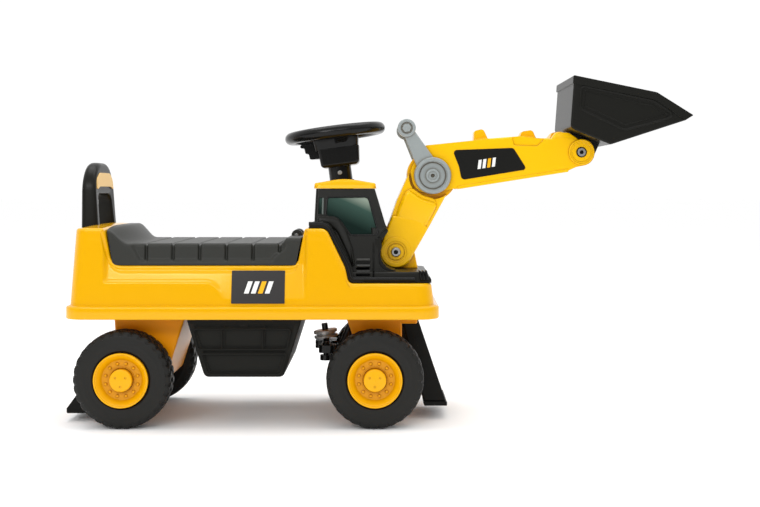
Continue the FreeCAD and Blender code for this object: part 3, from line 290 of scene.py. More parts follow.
def outline(points, step=2.0, closed=True):
    """Rounds each corner (a, b, radius) of a path."""
    result = []
    n = len(points)
    for i, p in enumerate(points):
        radius = p[2] if len(p) > 2 else 0.0
        if not closed and i in (0, n - 1):
            result.append(np.array(p[:2], float))
            continue
        result += corner_arc(points[i - 1][:2], p[:2], points[(i + 1) % n][:2], radius, step)
    kept = [result[0]]
    for p in result[1:]:
        if np.linalg.norm(p - kept[-1]) > 1e-4:
            kept.append(p)
    if closed and np.linalg.norm(kept[0] - kept[-1]) < 1e-4:
        kept.pop()
    return np.array(kept)


def resample(path, step):
    """Adds points along straight runs so that none is longer than step."""
    result = []
    for a, b in zip(path[:-1], path[1:]):
        parts = max(1, int(math.ceil(np.linalg.norm(b - a) / step)))
        result += [a + (b - a) * i / parts for i in range(parts)]
    return np.array(result + [path[-1]])


def area(points):
    """Signed area of a closed outline."""
    x, y = points[:, 0], points[:, 1]
    return 0.5 * float(np.sum(x * np.roll(y, -1) - y * np.roll(x, -1)))


def inset(points, depth):
    """Moves a closed outline inwards by depth."""
    if abs(depth) < 1e-9:
        return points.copy()
    sign = 1 if area(points) > 0 else -1
    before, after = np.roll(points, 1, 0), np.roll(points, -1, 0)
    into, out = points - before, after - points
    into /= np.linalg.norm(into, axis=1, keepdims=True)
    out /= np.linalg.norm(out, axis=1, keepdims=True)
    n1 = np.stack([-into[:, 1], into[:, 0]], 1) * sign
    n2 = np.stack([-out[:, 1], out[:, 0]], 1) * sign
    both = n1 + n2
    scale = 1 / np.maximum(1 + np.sum(n1 * n2, 1), 0.35)
    return points + both * scale[:, None] * depth


def plate(points, y0, y1, round0=0.0, round1=0.0, place=None, steps=4):
    """A slab between two planes, its rims rounded. place sets each point (a, y, b) on the toy."""
    place = place or (lambda a, y, b: (a, y, b))
    rings = []
    if round0 > 0:
        rings += [(round0 * (1 - math.sin(t)), y0 + round0 * (1 - math.cos(t)))
                  for t in np.linspace(0, math.pi / 2, steps + 1)]
    else:
        rings.append((0, y0))
    if round1 > 0:
        rings += [(round1 * (1 - math.sin(t)), y1 - round1 * (1 - math.cos(t)))
                  for t in np.linspace(math.pi / 2, 0, steps + 1)]
    else:
        rings.append((0, y1))
    verts = []
    for depth, y in rings:
        verts += [place(a, y, b) for a, b in inset(points, depth)]
    n = len(points)
    faces = quads(len(rings), n, closed_cols=True)
    faces.append(tuple(range(n))[::-1])
    faces.append(tuple(range((len(rings) - 1) * n, len(rings) * n)))
    return verts, faces


def merged(*pieces):
    """One piece of several, each given as its points and faces."""
    verts, faces = [], []
    for v, f in pieces:
        base = len(verts)
        verts += list(v)
        faces += [tuple(i + base for i in face) for face in f]
    return verts, faces


def flipped(piece):
    """The same piece on the toy's other side."""
    verts, faces = piece
    return [(x, -y, z) for x, y, z in verts], [tuple(reversed(f)) for f in faces]


def lathe(section, centre, steps=96):
    """A closed section (radius, y) turned about the line along Y through centre."""
    verts = []
    for i in range(steps):
        a = 2 * math.pi * i / steps
        verts += [(centre[0] + r * math.cos(a), y, centre[1] + r * math.sin(a)) for r, y in section]
    return verts, quads(steps, len(section), closed_cols=True, closed_rows=True)


def ridge(path, width, height, y_at, side, closed=False, sink=1.0):
    """A rounded bead along a path in X and Z, on a surface whose height is y_at(x, z)."""
    path = np.asarray(path, float)
    ahead = np.roll(path, -1, 0) - path if closed else np.gradient(path, axis=0)
    if closed:
        ahead = ahead / np.linalg.norm(ahead, axis=1, keepdims=True)
        ahead = ahead + np.roll(ahead, 1, 0)
    ahead /= np.linalg.norm(ahead, axis=1, keepdims=True)
    across = np.stack([-ahead[:, 1], ahead[:, 0]], 1)
    verts = []
    for (x, z), (nx, nz) in zip(path, across):
        for t in np.linspace(0, math.pi, 7):
            px, pz = x + nx * math.cos(t) * width / 2, z + nz * math.cos(t) * width / 2
            verts.append((px, side * (y_at(px, pz) + height * math.sin(t) ** 0.7), pz))
        for share in (-1, 1):
            px, pz = x + nx * share * width / 2, z + nz * share * width / 2
            verts.append((px, side * (y_at(px, pz) - sink), pz))
    faces = quads(len(path), 9, closed_cols=True, closed_rows=closed)
    if not closed:
        faces += [tuple(range(9)), tuple(range((len(path) - 1) * 9, len(path) * 9))[::-1]]
    return verts, faces


def turned_frame(origin, degrees):
    """A function that sets (along, y, up) of an arm drawn along +X in its place on the toy."""
    c, s = math.cos(math.radians(degrees)), math.sin(math.radians(degrees))
    return lambda a, y, b: (origin[0] + a * c - b * s, y, origin[1] + a * s + b * c)


def distance_inside(x, z, polygon):
    """Signed distance to a closed outline in X and Z, positive inside."""
    x, z = np.asarray(x, float), np.asarray(z, float)
    best = np.full(x.shape, 1e9)
    inside = np.zeros(x.shape, bool)
    n = len(polygon)
    for i in range(n):
        (ax, az), (bx, bz) = polygon[i], polygon[(i + 1) % n]
        ex, ez = bx - ax, bz - az
        t = np.clip(((x - ax) * ex + (z - az) * ez) / max(ex * ex + ez * ez, 1e-12), 0, 1)
        best = np.minimum(best, np.hypot(x - ax - t * ex, z - az - t * ez))
        cross = ((az > z) != (bz > z)) & (x < (bx - ax) * (z - az) / (bz - az if bz != az else 1e-12) + ax)
        inside ^= cross
    return np.where(inside, best, -best)


# -------- body shell
BODY_LOW, BODY_TOP, FLANGE_TOP = 166.0, 303.0, 185.0
BODY_REAR, BODY_FRONT, BODY_HALF = -469.0, 90.0, 131.0
WALL_REAR, WALL_FRONT = -443, 64        # ends of the straight part of the side, where the corners start
LEDGE_Z, DECK_Z = 246.5, 219.5
MOUTH_REAR, MOUTH_FRONT, MOUTH_HALF = -286, -125, 100
WALL = 3.5
# the flange's rolled edge, down and back up inside: (distance out from the side, height)
FLANGE = ((0.4, 186.0), (1.2, 185.2), (2.6, 185.0), (3.6, 184.6), (4.4, 183.7), (4.7, 182.4), (5.0, 168),
          (4.7, 166.8), (3.8, 166.1), (2.5, 166.0), (-2.2, 166.0), (-2.4, 168), (-2.9, 176))
PANEL = outline([(-470, 160), (-470, 223), (-243, 223, 24), (-218, 160)])
WELL_LEAN = outline([(-412, 188), (-412, 330), (-107, 330), (-107, 188)])


def hull(z):
    """How far along its taper the body is at a height."""
    return (z - BODY_LOW) / (BODY_TOP - BODY_LOW)


def leaning(z):
    """Distance of the body's leaning side wall from the middle."""
    return BODY_HALF + 0.5 - (z - 186) * 14 / 64


def side_y(x, z):
    """Half-width of the body's side: it leans in beside the seat, above and ahead of a raised panel."""
    plain = BODY_HALF - 8 * hull(z)
    lean = leaning(z)
    lean = np.where(z > 250, BODY_HALF - 13.5 - (z - 250) * 3 / 70, lean)
    into = smoothstep(distance_inside(x, z, WELL_LEAN), -3.5, 5)
    panel = smoothstep(distance_inside(x, z, PANEL), -3.5, 3.0)
    return plain - np.maximum(plain - lean, 0) * into * (1 - panel)


def crown(x, share):
    """The tower and the cowl are a little higher in the middle."""
    tower = 4.0 * (1 - smoothstep(x, -432, -409))
    cowl = 1.5 * smoothstep(x, -112, -104) * (1 - smoothstep(x, -84, -70))
    return (tower + cowl) * (1 - share ** 2) ** 0.8


def body_shell():
    """The body's outside as one skin: columns of points run from the top edge down to the flange, all the
    way round, and a cap closes them on top."""
    profile = outline([(-437, 303), (-414, 303, 6), (-403, LEDGE_Z, 20), (-121, LEDGE_Z, 13),
                       (-110, 302.5, 5), (-77, 302.5, 13), (-48, 243, 40), (-43, DECK_Z, 9),
                       (59, DECK_Z)], step=2, closed=False)
    profile = resample(profile, 2.6)
    along = np.r_[0, np.cumsum(np.linalg.norm(np.diff(profile, axis=0), axis=1))]
    along /= along[-1]
    tangent = np.gradient(profile, axis=0)
    tangent /= np.linalg.norm(tangent, axis=1, keepdims=True)
    normal = np.stack([-tangent[:, 1], tangent[:, 0]], 1)
    rows, round_edge, wall_rows = 6, 4.5, 46
    wall_foot = FLANGE_TOP + 1.5
    columns = []
    for i, (x, z) in enumerate(profile):
        base = WALL_REAR + (WALL_FRONT - WALL_REAR) * along[i]
        edge_y = float(side_y(np.array([x]), np.array([z - 0.01]))[0])
        points = []
        for a in np.linspace(0, math.pi / 2, rows + 1):
            drop = round_edge * (1 - math.cos(a))
            points.append((x - normal[i, 0] * drop, edge_y - round_edge * (1 - math.sin(a)),
                           z - normal[i, 1] * drop))
        fx, start, fz = points[-1]
        t = np.linspace(0, 1, wall_rows + 1)[1:]
        px, pz = fx + (base - fx) * t, fz + (wall_foot - fz) * t
        py = side_y(px, pz)
        blend = smoothstep(np.linspace(0, 1, wall_rows), 0, 0.12)
        py = start * (1 - blend) + py * blend if abs(start - float(side_y(fx, fz))) > 0.01 else py
        points += list(zip(px, py, pz))
        points += [(base, BODY_HALF + out, height) for out, height in FLANGE]
        columns.append(points)
    depth = len(columns[0])

    def corner(z_top, rear):
        """Columns round a plan corner, from the side to the end wall."""
        made = []
        for phi in np.linspace(0, math.pi / 2, 13)[1:]:
            points = []

            def at(z, out, phi=phi):
                t = hull(z)
                radius = 26 - 4 * t
                end = BODY_REAR + 10 * t if rear else BODY_FRONT - 18 * t
                sign = -1 if rear else 1
                cx, cy = end - sign * radius, BODY_HALF - 8 * t - radius
                return (cx + sign * (radius + out) * math.sin(phi), cy + (radius + out) * math.cos(phi), z)
            for a in np.linspace(0, math.pi / 2, rows + 1):
                x, y, z = at(z_top - round_edge * (1 - math.cos(a)), -round_edge * (1 - math.sin(a)))
                points.append((x, y, z))
            z_foot = z_top - round_edge
            for t in np.linspace(0, 1, wall_rows + 1)[1:]:
                points.append(at(z_foot + (wall_foot - z_foot) * t, 0))
            for out, height in FLANGE:
                x, y, _ = at(BODY_LOW, out)
                points.append((x, y, height))
            made.append(points)
        return made

    half = [list(c) for c in reversed(corner(BODY_TOP, True))] + columns + corner(DECK_Z, False)
    across = 48
    left = np.array(half)
    right = left * np.array([1, -1, 1])
    shares = np.linspace(-1, 1, across + 1)
    first, last = left[0], left[-1]
    rear_wall = [first * np.array([1, s, 1]) for s in shares[1:-1]]
    front_wall = [last * np.array([1, -s, 1]) for s in shares[1:-1]]
    loop = list(right[::-1]) + rear_wall + list(left) + front_wall
    # the loop runs: right side front to rear, rear wall, left side rear to front, front wall
    loop = np.array(loop)
    n = len(half)
    ring_count = len(loop)
    cap_start = ring_count * depth
    verts = [tuple(p) for column in loop for p in column]
    faces = quads(ring_count, depth, closed_rows=True)
    # the cap shares its edge with the columns; the tower and the cowl rise a little in its middle
    cap, index = [], {}
    for i in range(n):
        for j, s in enumerate(shares):
            if j == 0:
                index[i, j] = (n - 1 - i) * depth
            elif j == across:
                index[i, j] = (n + len(rear_wall) + i) * depth
            elif i == 0:
                index[i, j] = (n + j - 1) * depth
            elif i == n - 1:
                index[i, j] = (2 * n + len(rear_wall) + (across - 1 - j)) * depth
            else:
                x, y, z = left[i][0]
                index[i, j] = cap_start + len(cap)
                lift = crown(x, abs(s)) * smoothstep(x, -458, -440)
                cap.append((x, y * s, z + float(lift)))
    verts += cap
    # the storage bin is reached through a mouth in the ledge, its rim as thick as the wall
    open_rows = [i for i in range(n) if MOUTH_REAR <= left[i][0][0] <= MOUTH_FRONT]
    i0, i1 = open_rows[0], open_rows[-1]
    j0 = int(np.argmax(shares * left[i0][0][1] >= -MOUTH_HALF))
    j1 = across - j0
    for i in range(n - 1):
        for j in range(across):
            if not (i0 <= i < i1 and j0 <= j < j1):
                faces.append((index[i, j], index[i, j + 1], index[i + 1, j + 1], index[i + 1, j]))
    rim = ([index[i0, j] for j in range(j0, j1)] + [index[i, j1] for i in range(i0, i1)] +
           [index[i1, j] for j in range(j1, j0, -1)] + [index[i, j0] for i in range(i1, i0, -1)])
    under = len(verts)
    verts += [(verts[k][0], verts[k][1], verts[k][2] - WALL) for k in rim]
    for k in range(len(rim)):
        after = (k + 1) % len(rim)
        faces.append((rim[k], under + k, under + after, rim[after]))
    return verts, faces


add("body_skin", *body_shell(), "chassis", "body", ["body_shell"], "yellow_plastic", smooth=60,
    weighted=False)


# -------- wheels
WHEEL_RADIUS, WHEEL_MIDDLE = 74.5, 110.5        # a wheel stands on the floor, its middle this far out
FRONT_AXLE, REAR_AXLE = -3.0, -385.0
WHEELS = [(f"{place}_{side_name}", cx, side) for place, cx in (("front", FRONT_AXLE), ("rear", REAR_AXLE))
          for side_name, side in (("left", 1), ("right", -1))]


def tyre(cx, side):
    """Chunky tread: two rows of slanted lugs with side notches, on a smooth sidewall."""
    y0 = WHEEL_MIDDLE
    section = outline([(38.2, y0 - 20), (57, y0 - 22.4, 4), (67, y0 - 21.4, 3), (73.4, y0 - 18.0, 3),
                       (WHEEL_RADIUS, y0, 60), (73.4, y0 + 18.0, 3), (67, y0 + 21.4, 3),
                       (57, y0 + 22.4, 4), (44.5, y0 + 21.6, 1), (41.7, y0 + 18.3), (38.4, y0 + 18.0)],
                      step=1.6)
    section = resample(np.vstack([section, section[:1]]), 1.9)[:-1]
    lugs, per = 30, 18
    steps = lugs * per
    verts = []
    r, y = section[:, 0], section[:, 1] - y0
    tread = smoothstep(r, 66.0, 69.5)
    for i in range(steps):
        turn = i / steps
        phase = turn * lugs + np.where(y > 0, 0.5, 0.0) + np.abs(y) * 0.035 + 0.16 * np.sin(y * 0.5)
        gap = np.abs((phase % 1.0) - 0.5) * 2
        groove = smoothstep(gap, 0.62, 0.78)
        fine = smoothstep(np.abs(((phase * 2 + 0.5) % 1.0) - 0.5) * 2, 0.80, 0.93) * (np.abs(y) > 9)
        middle = 1 - smoothstep(np.abs(y + 1.6 * math.sin(turn * lugs * 2 * math.pi)), 0.8, 1.8)
        cut = tread * np.maximum.reduce([2.5 * groove, 1.0 * fine, 2.2 * middle])
        ring = 0.35 * np.exp(-((r - 61.5) / 0.7) ** 2) + 0.3 * np.exp(-((r - 50) / 0.6) ** 2)
        radius = r - cut
        yy = section[:, 1] - np.sign(y) * ring * (np.abs(y) > 15)
        a = 2 * math.pi * turn + (0.21 if cx == FRONT_AXLE else 0.77)
        verts += [(cx + q * math.cos(a), side * w, WHEEL_RADIUS + q * math.sin(a))
                  for q, w in zip(radius, yy)]
    return verts, quads(steps, len(section), closed_cols=True, closed_rows=True)


for wheel, cx, side in WHEELS:
    add("tread_" + wheel, *tyre(cx, side), "wheel_" + wheel, "tyre", ["tyre_" + wheel], "tyre_plastic",
        smooth=50, weighted=False)


def stud(centre, y, radius, side, rise=0.75, rings=5, steps=16):
    """A low round dome on the flat face of a wheel."""
    verts = [(centre[0], side * (y + radius * rise), centre[1])]
    for k in range(1, rings + 1):
        t = math.pi / 2 * k / rings
        verts += [(centre[0] + radius * math.sin(t) * math.cos(2 * math.pi * i / steps),
                   side * (y + radius * rise * math.cos(t)),
                   centre[1] + radius * math.sin(t) * math.sin(2 * math.pi * i / steps))
                  for i in range(steps)]
    faces = [(0, 1 + i, 1 + (i + 1) % steps) for i in range(steps)]
    for k in range(rings - 1):
        a, b = 1 + k * steps, 1 + (k + 1) * steps
        faces += [(a + i, b + i, b + (i + 1) % steps, a + (i + 1) % steps) for i in range(steps)]
    faces.append(tuple(range(len(verts) - steps, len(verts)))[::-1])
    return verts, faces if side < 0 else [tuple(reversed(f)) for f in faces]


def wheel_trim(cx, side):
    """Twelve studs on a wheel's dished web, a rolled bead round its rim and a thin one round its cap."""
    def bead(radius, y, half, corners, steps):
        """A round ring about the wheel's middle."""
        turns = np.linspace(0, 2 * math.pi, corners + 1)[:-1]
        section = [(radius + half * math.cos(t), side * (y + half * math.sin(t))) for t in turns]
        return lathe(section, (cx, WHEEL_RADIUS), steps)

    studs, pitch_radius, web = [], 25, WHEEL_MIDDLE + 15.4
    for i in range(12):
        t = math.radians(30 * i + 15)
        centre = (cx + pitch_radius * math.cos(t), WHEEL_RADIUS + pitch_radius * math.sin(t))
        studs.append(stud(centre, web, 2.7, side, 0.95))
    return merged(*studs, bead(39.9, WHEEL_MIDDLE + 24.3, 1.5, 12, 120),
                  bead(18.9, WHEEL_MIDDLE + 15.6, 0.9, 10, 96))


for wheel, cx, side in WHEELS:
    add("wheel_trim_" + wheel, *wheel_trim(cx, side), "wheel_" + wheel, "hub", slot="yellow_plastic",
        smooth=60, weighted=False)


# -------- seat
PADS = [-351 + 40.6 * i for i in range(6)]      # where the channels between the pads are
SEAT_REAR, SEAT_FRONT, SEAT_LOW, SEAT_HALF = -411, -114.4, 247.0, 116.8
SIDE_LEAN, SEAT_EDGE = 0.10, 5.5                # the sides' lean, and the radius of the top edge
PAD_INSET, SIDE_CHANNEL, TOP_CHANNEL = 2.6, 3.4, 3.0
SIDE_END, EDGE_END = 0.42, 0.62                 # shares of a section's points: up the side, round the edge


def seat():
    """The lid: cross channels run over the top and down the sides between raised pads."""
    near_channel = (-3.6, -2.6, -1.8, -0.9, 0, 0.9, 1.8, 2.6, 3.6)
    stations = sorted(set(list(np.round(np.arange(SEAT_REAR, SEAT_FRONT, 2.0), 3)) +
                          [round(p + d, 3) for p in PADS for d in near_channel]))
    section = 46

    def top(x, share):
        """Height of the seat along its length; share is 0 in the middle and 1 at the side."""
        drop = smoothstep(x, -393 - 20 * share ** 2, -364 - 14 * share ** 2)
        back = 306.0 - 5.0 * share ** 4 - (26 - 5 * share ** 4) * drop
        front = 8.5 * smoothstep(x, -146, -136)
        return back + front

    rows = []
    for x in stations:
        groove = float(sum(np.exp(-((x - p) / 2.1) ** 4) for p in PADS))

        def pad(z, x=x):
            """1 on the padded part of the flank, 0 on the rear wing and the front nose."""
            rear = smoothstep(x, -391 + (306 - z) * 0.55, -386.5 + (306 - z) * 0.55)
            nose = 18 * smoothstep(280 - z, 6, 24)
            front = smoothstep(x, -144 - nose, -138 - nose)
            return float(rear * (1 - front) * smoothstep(z, 251.5, 256.5))

        z_foot = float(top(x, 1.0)) - SEAT_EDGE
        foot_y = SEAT_HALF - (z_foot - SEAT_LOW) * SIDE_LEAN
        on_side = pad(z_foot)
        row = []
        # t runs from the bottom edge up the side, round the edge and over the top to the middle
        for t in (j / section for j in range(section + 1)):
            if t <= SIDE_END:
                z = SEAT_LOW + (z_foot - SEAT_LOW) * min(1.0, t / SIDE_END)
                y = SEAT_HALF - (z - SEAT_LOW) * SIDE_LEAN
                row.append((x, y - pad(z) * (PAD_INSET + groove * SIDE_CHANNEL), z))
            elif t <= EDGE_END:
                a = (t - SIDE_END) / (EDGE_END - SIDE_END) * math.pi / 2
                edge = foot_y - on_side * (PAD_INSET + groove * SIDE_CHANNEL)
                row.append((x, edge - SEAT_EDGE * (1 - math.cos(a)),
                            z_foot + SEAT_EDGE * math.sin(a) - groove * on_side * TOP_CHANNEL * math.sin(a)))
            else:
                edge = foot_y - SEAT_EDGE - on_side * PAD_INSET
                y = edge * (1 - (t - EDGE_END) / (1 - EDGE_END))
                row.append((x, y, float(top(x, y / edge)) - groove * on_side * TOP_CHANNEL))
        rows.append(row)
    rows = np.array(rows)
    # the ends: the rear leans back against the tower, the front against the cowl
    for row in rows:
        x = row[0, 0]
        if x < -396:
            t = smoothstep(-396 - x, 0, 16)
            row[:, 0] += (row[:, 2] < 300) * t * (300 - np.minimum(row[:, 2], 300)) * 0.19
        if x > -128:
            t = smoothstep(x + 128, 0, 13)
            row[:, 0] -= (row[:, 2] < 290) * t * (290 - np.minimum(row[:, 2], 290)) * 0.19
    left = rows
    right = rows[:, ::-1][:, 1:] * np.array([1, -1, 1])
    whole = np.concatenate([left, right], axis=1)
    count = whole.shape[1]
    verts = [tuple(p) for row in whole for p in row]
    faces = quads(len(rows), count)
    # bottom and ends
    faces += [(r * count, (r + 1) * count, (r + 2) * count - 1, (r + 1) * count - 1)
              for r in range(len(rows) - 1)]
    faces.append(tuple(range(count)))
    faces.append(tuple(range((len(rows) - 1) * count, len(rows) * count))[::-1])
    return verts, faces


add("seat_skin", *seat(), "seat", "seat", ["seat_lid"], "black_plastic", smooth=50, weighted=False)
SEAT_HINGE = (-128.0, 289.0)
barrels = [lathe([(3.3, y0), (8.0, y0), (8.6, y0 + 0.8), (8.6, y0 + 17.4), (8.0, y0 + 18.2),
                  (3.3, y0 + 18.2)], SEAT_HINGE, 48) for y0 in (-28.2, 10.0)]
add("seat_hinge_barrels", *merged(*barrels), "seat", "seat", slot="black_plastic")


# -------- backrest
ARCH_REAR, ARCH_FRONT = -463.5, -436.9


def backrest():
    """Arch behind the seat: two posts and a deep top bar, its section a rounded box."""
    outer = outline([(-66, 297), (-58, 404.8, 46), (58, 404.8, 46), (66, 297)], step=4, closed=False)
    inner = outline([(-47.3, 297), (-42, 355, 16), (42, 355, 16), (47.3, 297)], step=3, closed=False)

    def even(path, count):
        """The path as count points, the same distance apart."""
        path = resample(path, 1.0)
        along = np.r_[0, np.cumsum(np.linalg.norm(np.diff(path, axis=0), axis=1))]
        want = np.linspace(0, along[-1], count)
        return np.stack([np.interp(want, along, path[:, k]) for k in range(2)], 1)

    count = 90
    outer, inner = even(outer, count), even(inner, count)
    rows = []
    for o, i in zip(outer, inner):
        depth = np.linalg.norm(o - i)
        out = (o - i) / depth
        corner = min(8.0, depth / 2 - 0.2)
        front = ARCH_FRONT - 5.0 * min(max((o[1] - 300) / 78, 0), 1.1)
        section = outline([(ARCH_REAR, 0, 1.2), (front, 0, 2.5), (front, depth, corner),
                           (ARCH_REAR, depth, corner)], step=1.5)
        section = even(np.vstack([section, section[:1]]), 57)[:-1]
        rows.append([(x, i[0] + out[0] * d, i[1] + out[1] * d) for x, d in section])
    n = len(rows[0])
    verts = [p for row in rows for p in row]
    faces = quads(len(rows), n, closed_cols=True)
    faces.append(tuple(range(n)))
    faces.append(tuple(range((count - 1) * n, count * n))[::-1])
    return verts, faces


add("backrest_arch", *backrest(), "chassis", "black", ["backrest"], "black_plastic", smooth=60,
    weighted=False)


# -------- labels
def slab(points, y0, y1, place=None, round1=0.25, side=1):
    """A thin plate on one side of the toy, its outer rim rounded."""
    place = place or (lambda a, y, b: (a, y, b))
    made = plate(outline(points, step=1.5), y0, y1, 0, round1, lambda a, y, b: place(a, side * y, b), steps=3)
    return made if side > 0 else (made[0], [tuple(reversed(f)) for f in made[1]])


def slabs(points, y0, y1, place=None, round1=0.25):
    """The same thin plate on both sides."""
    return [slab(points, y0, y1, place, round1, side) for side in BOTH_SIDES]


def details(name, made, body, look, slot="black_plastic"):
    """Adds small shapes as one piece, shaded smooth except at its hard corners."""
    add(name, *merged(*made), body, look, slot=slot, smooth=60, weighted=False)


def on_flank(x, y, z):
    """Sets a point y off the body's leaning side."""
    return x, math.copysign(leaning(z) + abs(y), y), z


def stripes(left, low, count, width, height, pitch, slant):
    """Slanted bars side by side."""
    starts = [left + i * pitch for i in range(count)]
    return [[(x, low), (x + width, low), (x + width + slant, low + height), (x + slant, low + height)]
            for x in starts]


def label(prefix, node, body, look, shape, place, base, bars):
    """A plate on both sides, base out from the toy's middle or its wall, with slanted bars printed on it."""
    plates = slabs(shape, base + PLATE_FOOT[prefix], base + 0.7, place)
    add(prefix + "_label_plates", *merged(*plates), body, look, [node], "label_film")
    for mark, chosen in (("white_mark", (0, 1, 3)), ("amber_mark", (2,))):
        made = [slab(bar, base + 0.6, base + 0.95, place, 0.1, side) for side in BOTH_SIDES
                for i, bar in enumerate(bars) if i in chosen]
        add(f"{prefix}_label_{mark}", *merged(*made), body, mark, slot="label_film")


PLATE_FOOT = {"body": 0.05, "stick": 0.02}       # how far a plate stands off its wall
BODY_LABEL = [(-219.5, 190, 1), (-139, 190, 1), (-139, 239, 1), (-219.5, 239, 1)]
label("body", "body_labels", "chassis", "label", BODY_LABEL, on_flank, 0,
      stripes(-200.5, 205, 4, 7.0, 18, 10.5, 6))

BADGE = [(-51.5, 362.0, 2), (-49.5, 378, 12), (-33, 388.5, 20), (33, 388.5, 20), (49.5, 378, 12),
         (51.5, 362.0, 2), (34, 366.5, 30), (-34, 366.5, 30)]
badge = plate(outline(BADGE, step=2), -442.4, -440.6, 0, 0.3,
              lambda a, y, b: (y - (b - 375) * 0.064, a, b))
add("backrest_badge", *badge, "chassis", "cream", slot="label_film")


# -------- arm details
PIVOT, BOOM_ANGLE, BOOM_LEN = (30.0, 262.7), 64.4, 134.2
ELBOW = turned_frame(PIVOT, BOOM_ANGLE)(BOOM_LEN, 0, 0)[::2]
STICK_ANGLE, STICK_LEN, STICK_HALF = 8.95, 239.8, 38.0
on_boom, on_stick = turned_frame(PIVOT, BOOM_ANGLE), turned_frame(ELBOW, STICK_ANGLE)
STICK_LABEL = [(38, 35, 5), (134, 23.5, 6), (150, -13.5, 4), (45, -14, 6), (44, 8, 10)]

label("stick", "stick_labels", "stick", "arm_label", STICK_LABEL, on_stick, STICK_HALF,
      stripes(72.5, -1, 4, 5.0, 14, 7.6, 4))


def boom_blocks():
    """The boom's upper part swells out on both sides between its seam and the elbow."""
    arc = [(BOOM_LEN - 39 * math.cos(t), 39 * math.sin(t)) for t in np.linspace(-0.30, 0.30, 9)]
    shape = [(44, -24, 8), (62, -26, 14), (98.5, -27, 10)] + arc + [(98.5, 28, 10), (62, 27, 14), (44, 24, 8)]
    rim = resample(outline(shape, step=1.0), 1.6)
    block = plate(rim, 38, 46.0, 0, 6.0, lambda a, y, b: on_boom(
        a, y - 2.6 * (1 - smoothstep(a, 50, 82)) * smoothstep(y, 38, 44), b), steps=9)
    return [block, flipped(block)]


details("boom_blocks", boom_blocks(), "boom", "arm", "yellow_plastic")


def ring(along, outer, inner, y0, y1, place, side, steps):
    """A flat ring with softened rims about a pin of the arm."""
    soft = min(0.7, (outer - inner) / 4)
    section = [(inner, y0), (inner, y1 - soft), (inner + soft, y1),
               (outer - soft, y1), (outer, y1 - soft), (outer, y0)]
    verts = []
    for i in range(steps):
        t = 2 * math.pi * i / steps
        verts += [place(along + r * math.cos(t), side * y, r * math.sin(t)) for r, y in section]
    return verts, quads(steps, len(section), closed_cols=True, closed_rows=True)


def rings(along, place, *sizes):
    """Rings on both sides at a distance along the arm; each size is (outer, inner, y0, y1, steps)."""
    return merged(*[ring(along, outer, inner, y0, y1, place, side, steps)
                    for outer, inner, y0, y1, steps in sizes for side in BOTH_SIDES])


add("boom_ear_rings", *rings(0, on_boom, (24.0, 17.0, 42, 44.9, 64)), "boom", "arm", slot="yellow_plastic")
add("stick_ear_rings", *rings(STICK_LEN, on_stick, (20.3, 17.8, 36, 40.2, 64)), "stick", "arm",
    slot="yellow_plastic")
# painted shade: dark rings stand for the shade in the pivot bolt's well, the gap round the wrist pin and the
# wrist pin's well
add("pivot_bolt_well_shade", *rings(0, on_boom, (3.9, 0.3, 44, 46.9, 24)), "chassis", "dark", slot="steel")
add("wrist_pin_gap_shade", *rings(STICK_LEN, on_stick, (8.3, 5.5, 38, 39.8, 48)), "stick", "dark",
    slot="black_plastic")
add("wrist_pin_well_shade", *rings(STICK_LEN, on_stick, (3.15, 0.3, 30, 39.0, 24)), "stick", "dark", slot="steel")
add("lever_disc_rims", *rings(0, on_stick, (28.4, 23.2, 47, 51.0, 96), (10.6, 7.3, 46, 51.2, 48),
                              (5.4, 3.4, 46, 51.0, 6)), "stick", "grey", slot="grey_plastic")
hump = [(195, 27.5, 3), (205.5, 38, 6), (226, 33.5, 7), (240, 20, 6), (240, 8), (195, 8)]
details("stick_end_humps", slabs(hump, 22.5, STICK_HALF - 0.1, on_stick, 2.5), "stick", "arm",
        "yellow_plastic")
lip = [(36, -22.5, 0.8), (214.6, -22.8, 0.8), (214.6, -27.6, 0.8), (36, -27.6, 0.8)]
lips = slabs(lip, 20, STICK_HALF + 0.9, on_stick, 0.8)
add("stick_lips", *merged(*lips), "stick", "arm", slot="yellow_plastic")


# -------- cab details
def cab_half(z):
    """Half-width of the cab at a height."""
    return 106 - (z - 230) * 0.18


def on_cab(x, y, z):
    """Sets a point on the cab's side; y of 20 is on its surface, more is proud of it."""
    return x, math.copysign(cab_half(z) + abs(y) - 20, y), z


FENDER = [(-93, 306), (-91, 321.5, 5), (-61, 320.5, 17), (-47, 300, 20), (-36.5, 270, 30),
          (-33.5, 246, 6), (-38, 243, 4), (-43, 258, 20), (-61, 296, 30), (-75, 309, 10)]
details("cab_fenders", slabs(FENDER, 16, 25.0, on_cab, 3.5), "chassis", "black")
WINDOW = outline([(-76, 349, 3), (-14, 349.5, 7), (1.5, 293, 4), (-40, 292.5, 3), (-56, 315, 14),
                  (-78, 322, 4)], step=1.5)
beads = [ridge(inset(WINDOW, -1.2), 2.2, 0.9, lambda x, z: cab_half(z), side, closed=True)
         for side in BOTH_SIDES]
details("cab_window_beads", beads, "chassis", "gloss_black")
slats = []
for z in (234.9, 243.9, 252.9):
    slat = [(-31.5, z, 1.2), (-10.5, z, 1.2), (-10.5, z + 3.2, 1.2), (-31.5, z + 3.2, 1.2)]
    slats += slabs(slat, 18, 21.6, on_cab, 1.2)
details("cab_vent_slats", slats, "chassis", "slat")
bead_path = resample(outline([(-103.5, 309.2), (-75.5, 309.6, 14), (-43.4, 246.2, 40), (-38.6, 225.3, 8),
                              (58, 225.3)], step=2, closed=False), 3)
SKIRT_HALF = 114.2
beads = [ridge(bead_path, 6.5, 2.4, lambda x, z: SKIRT_HALF, side, sink=2.5) for side in BOTH_SIDES]
details("cab_skirt_beads", beads, "chassis", "gloss_black")
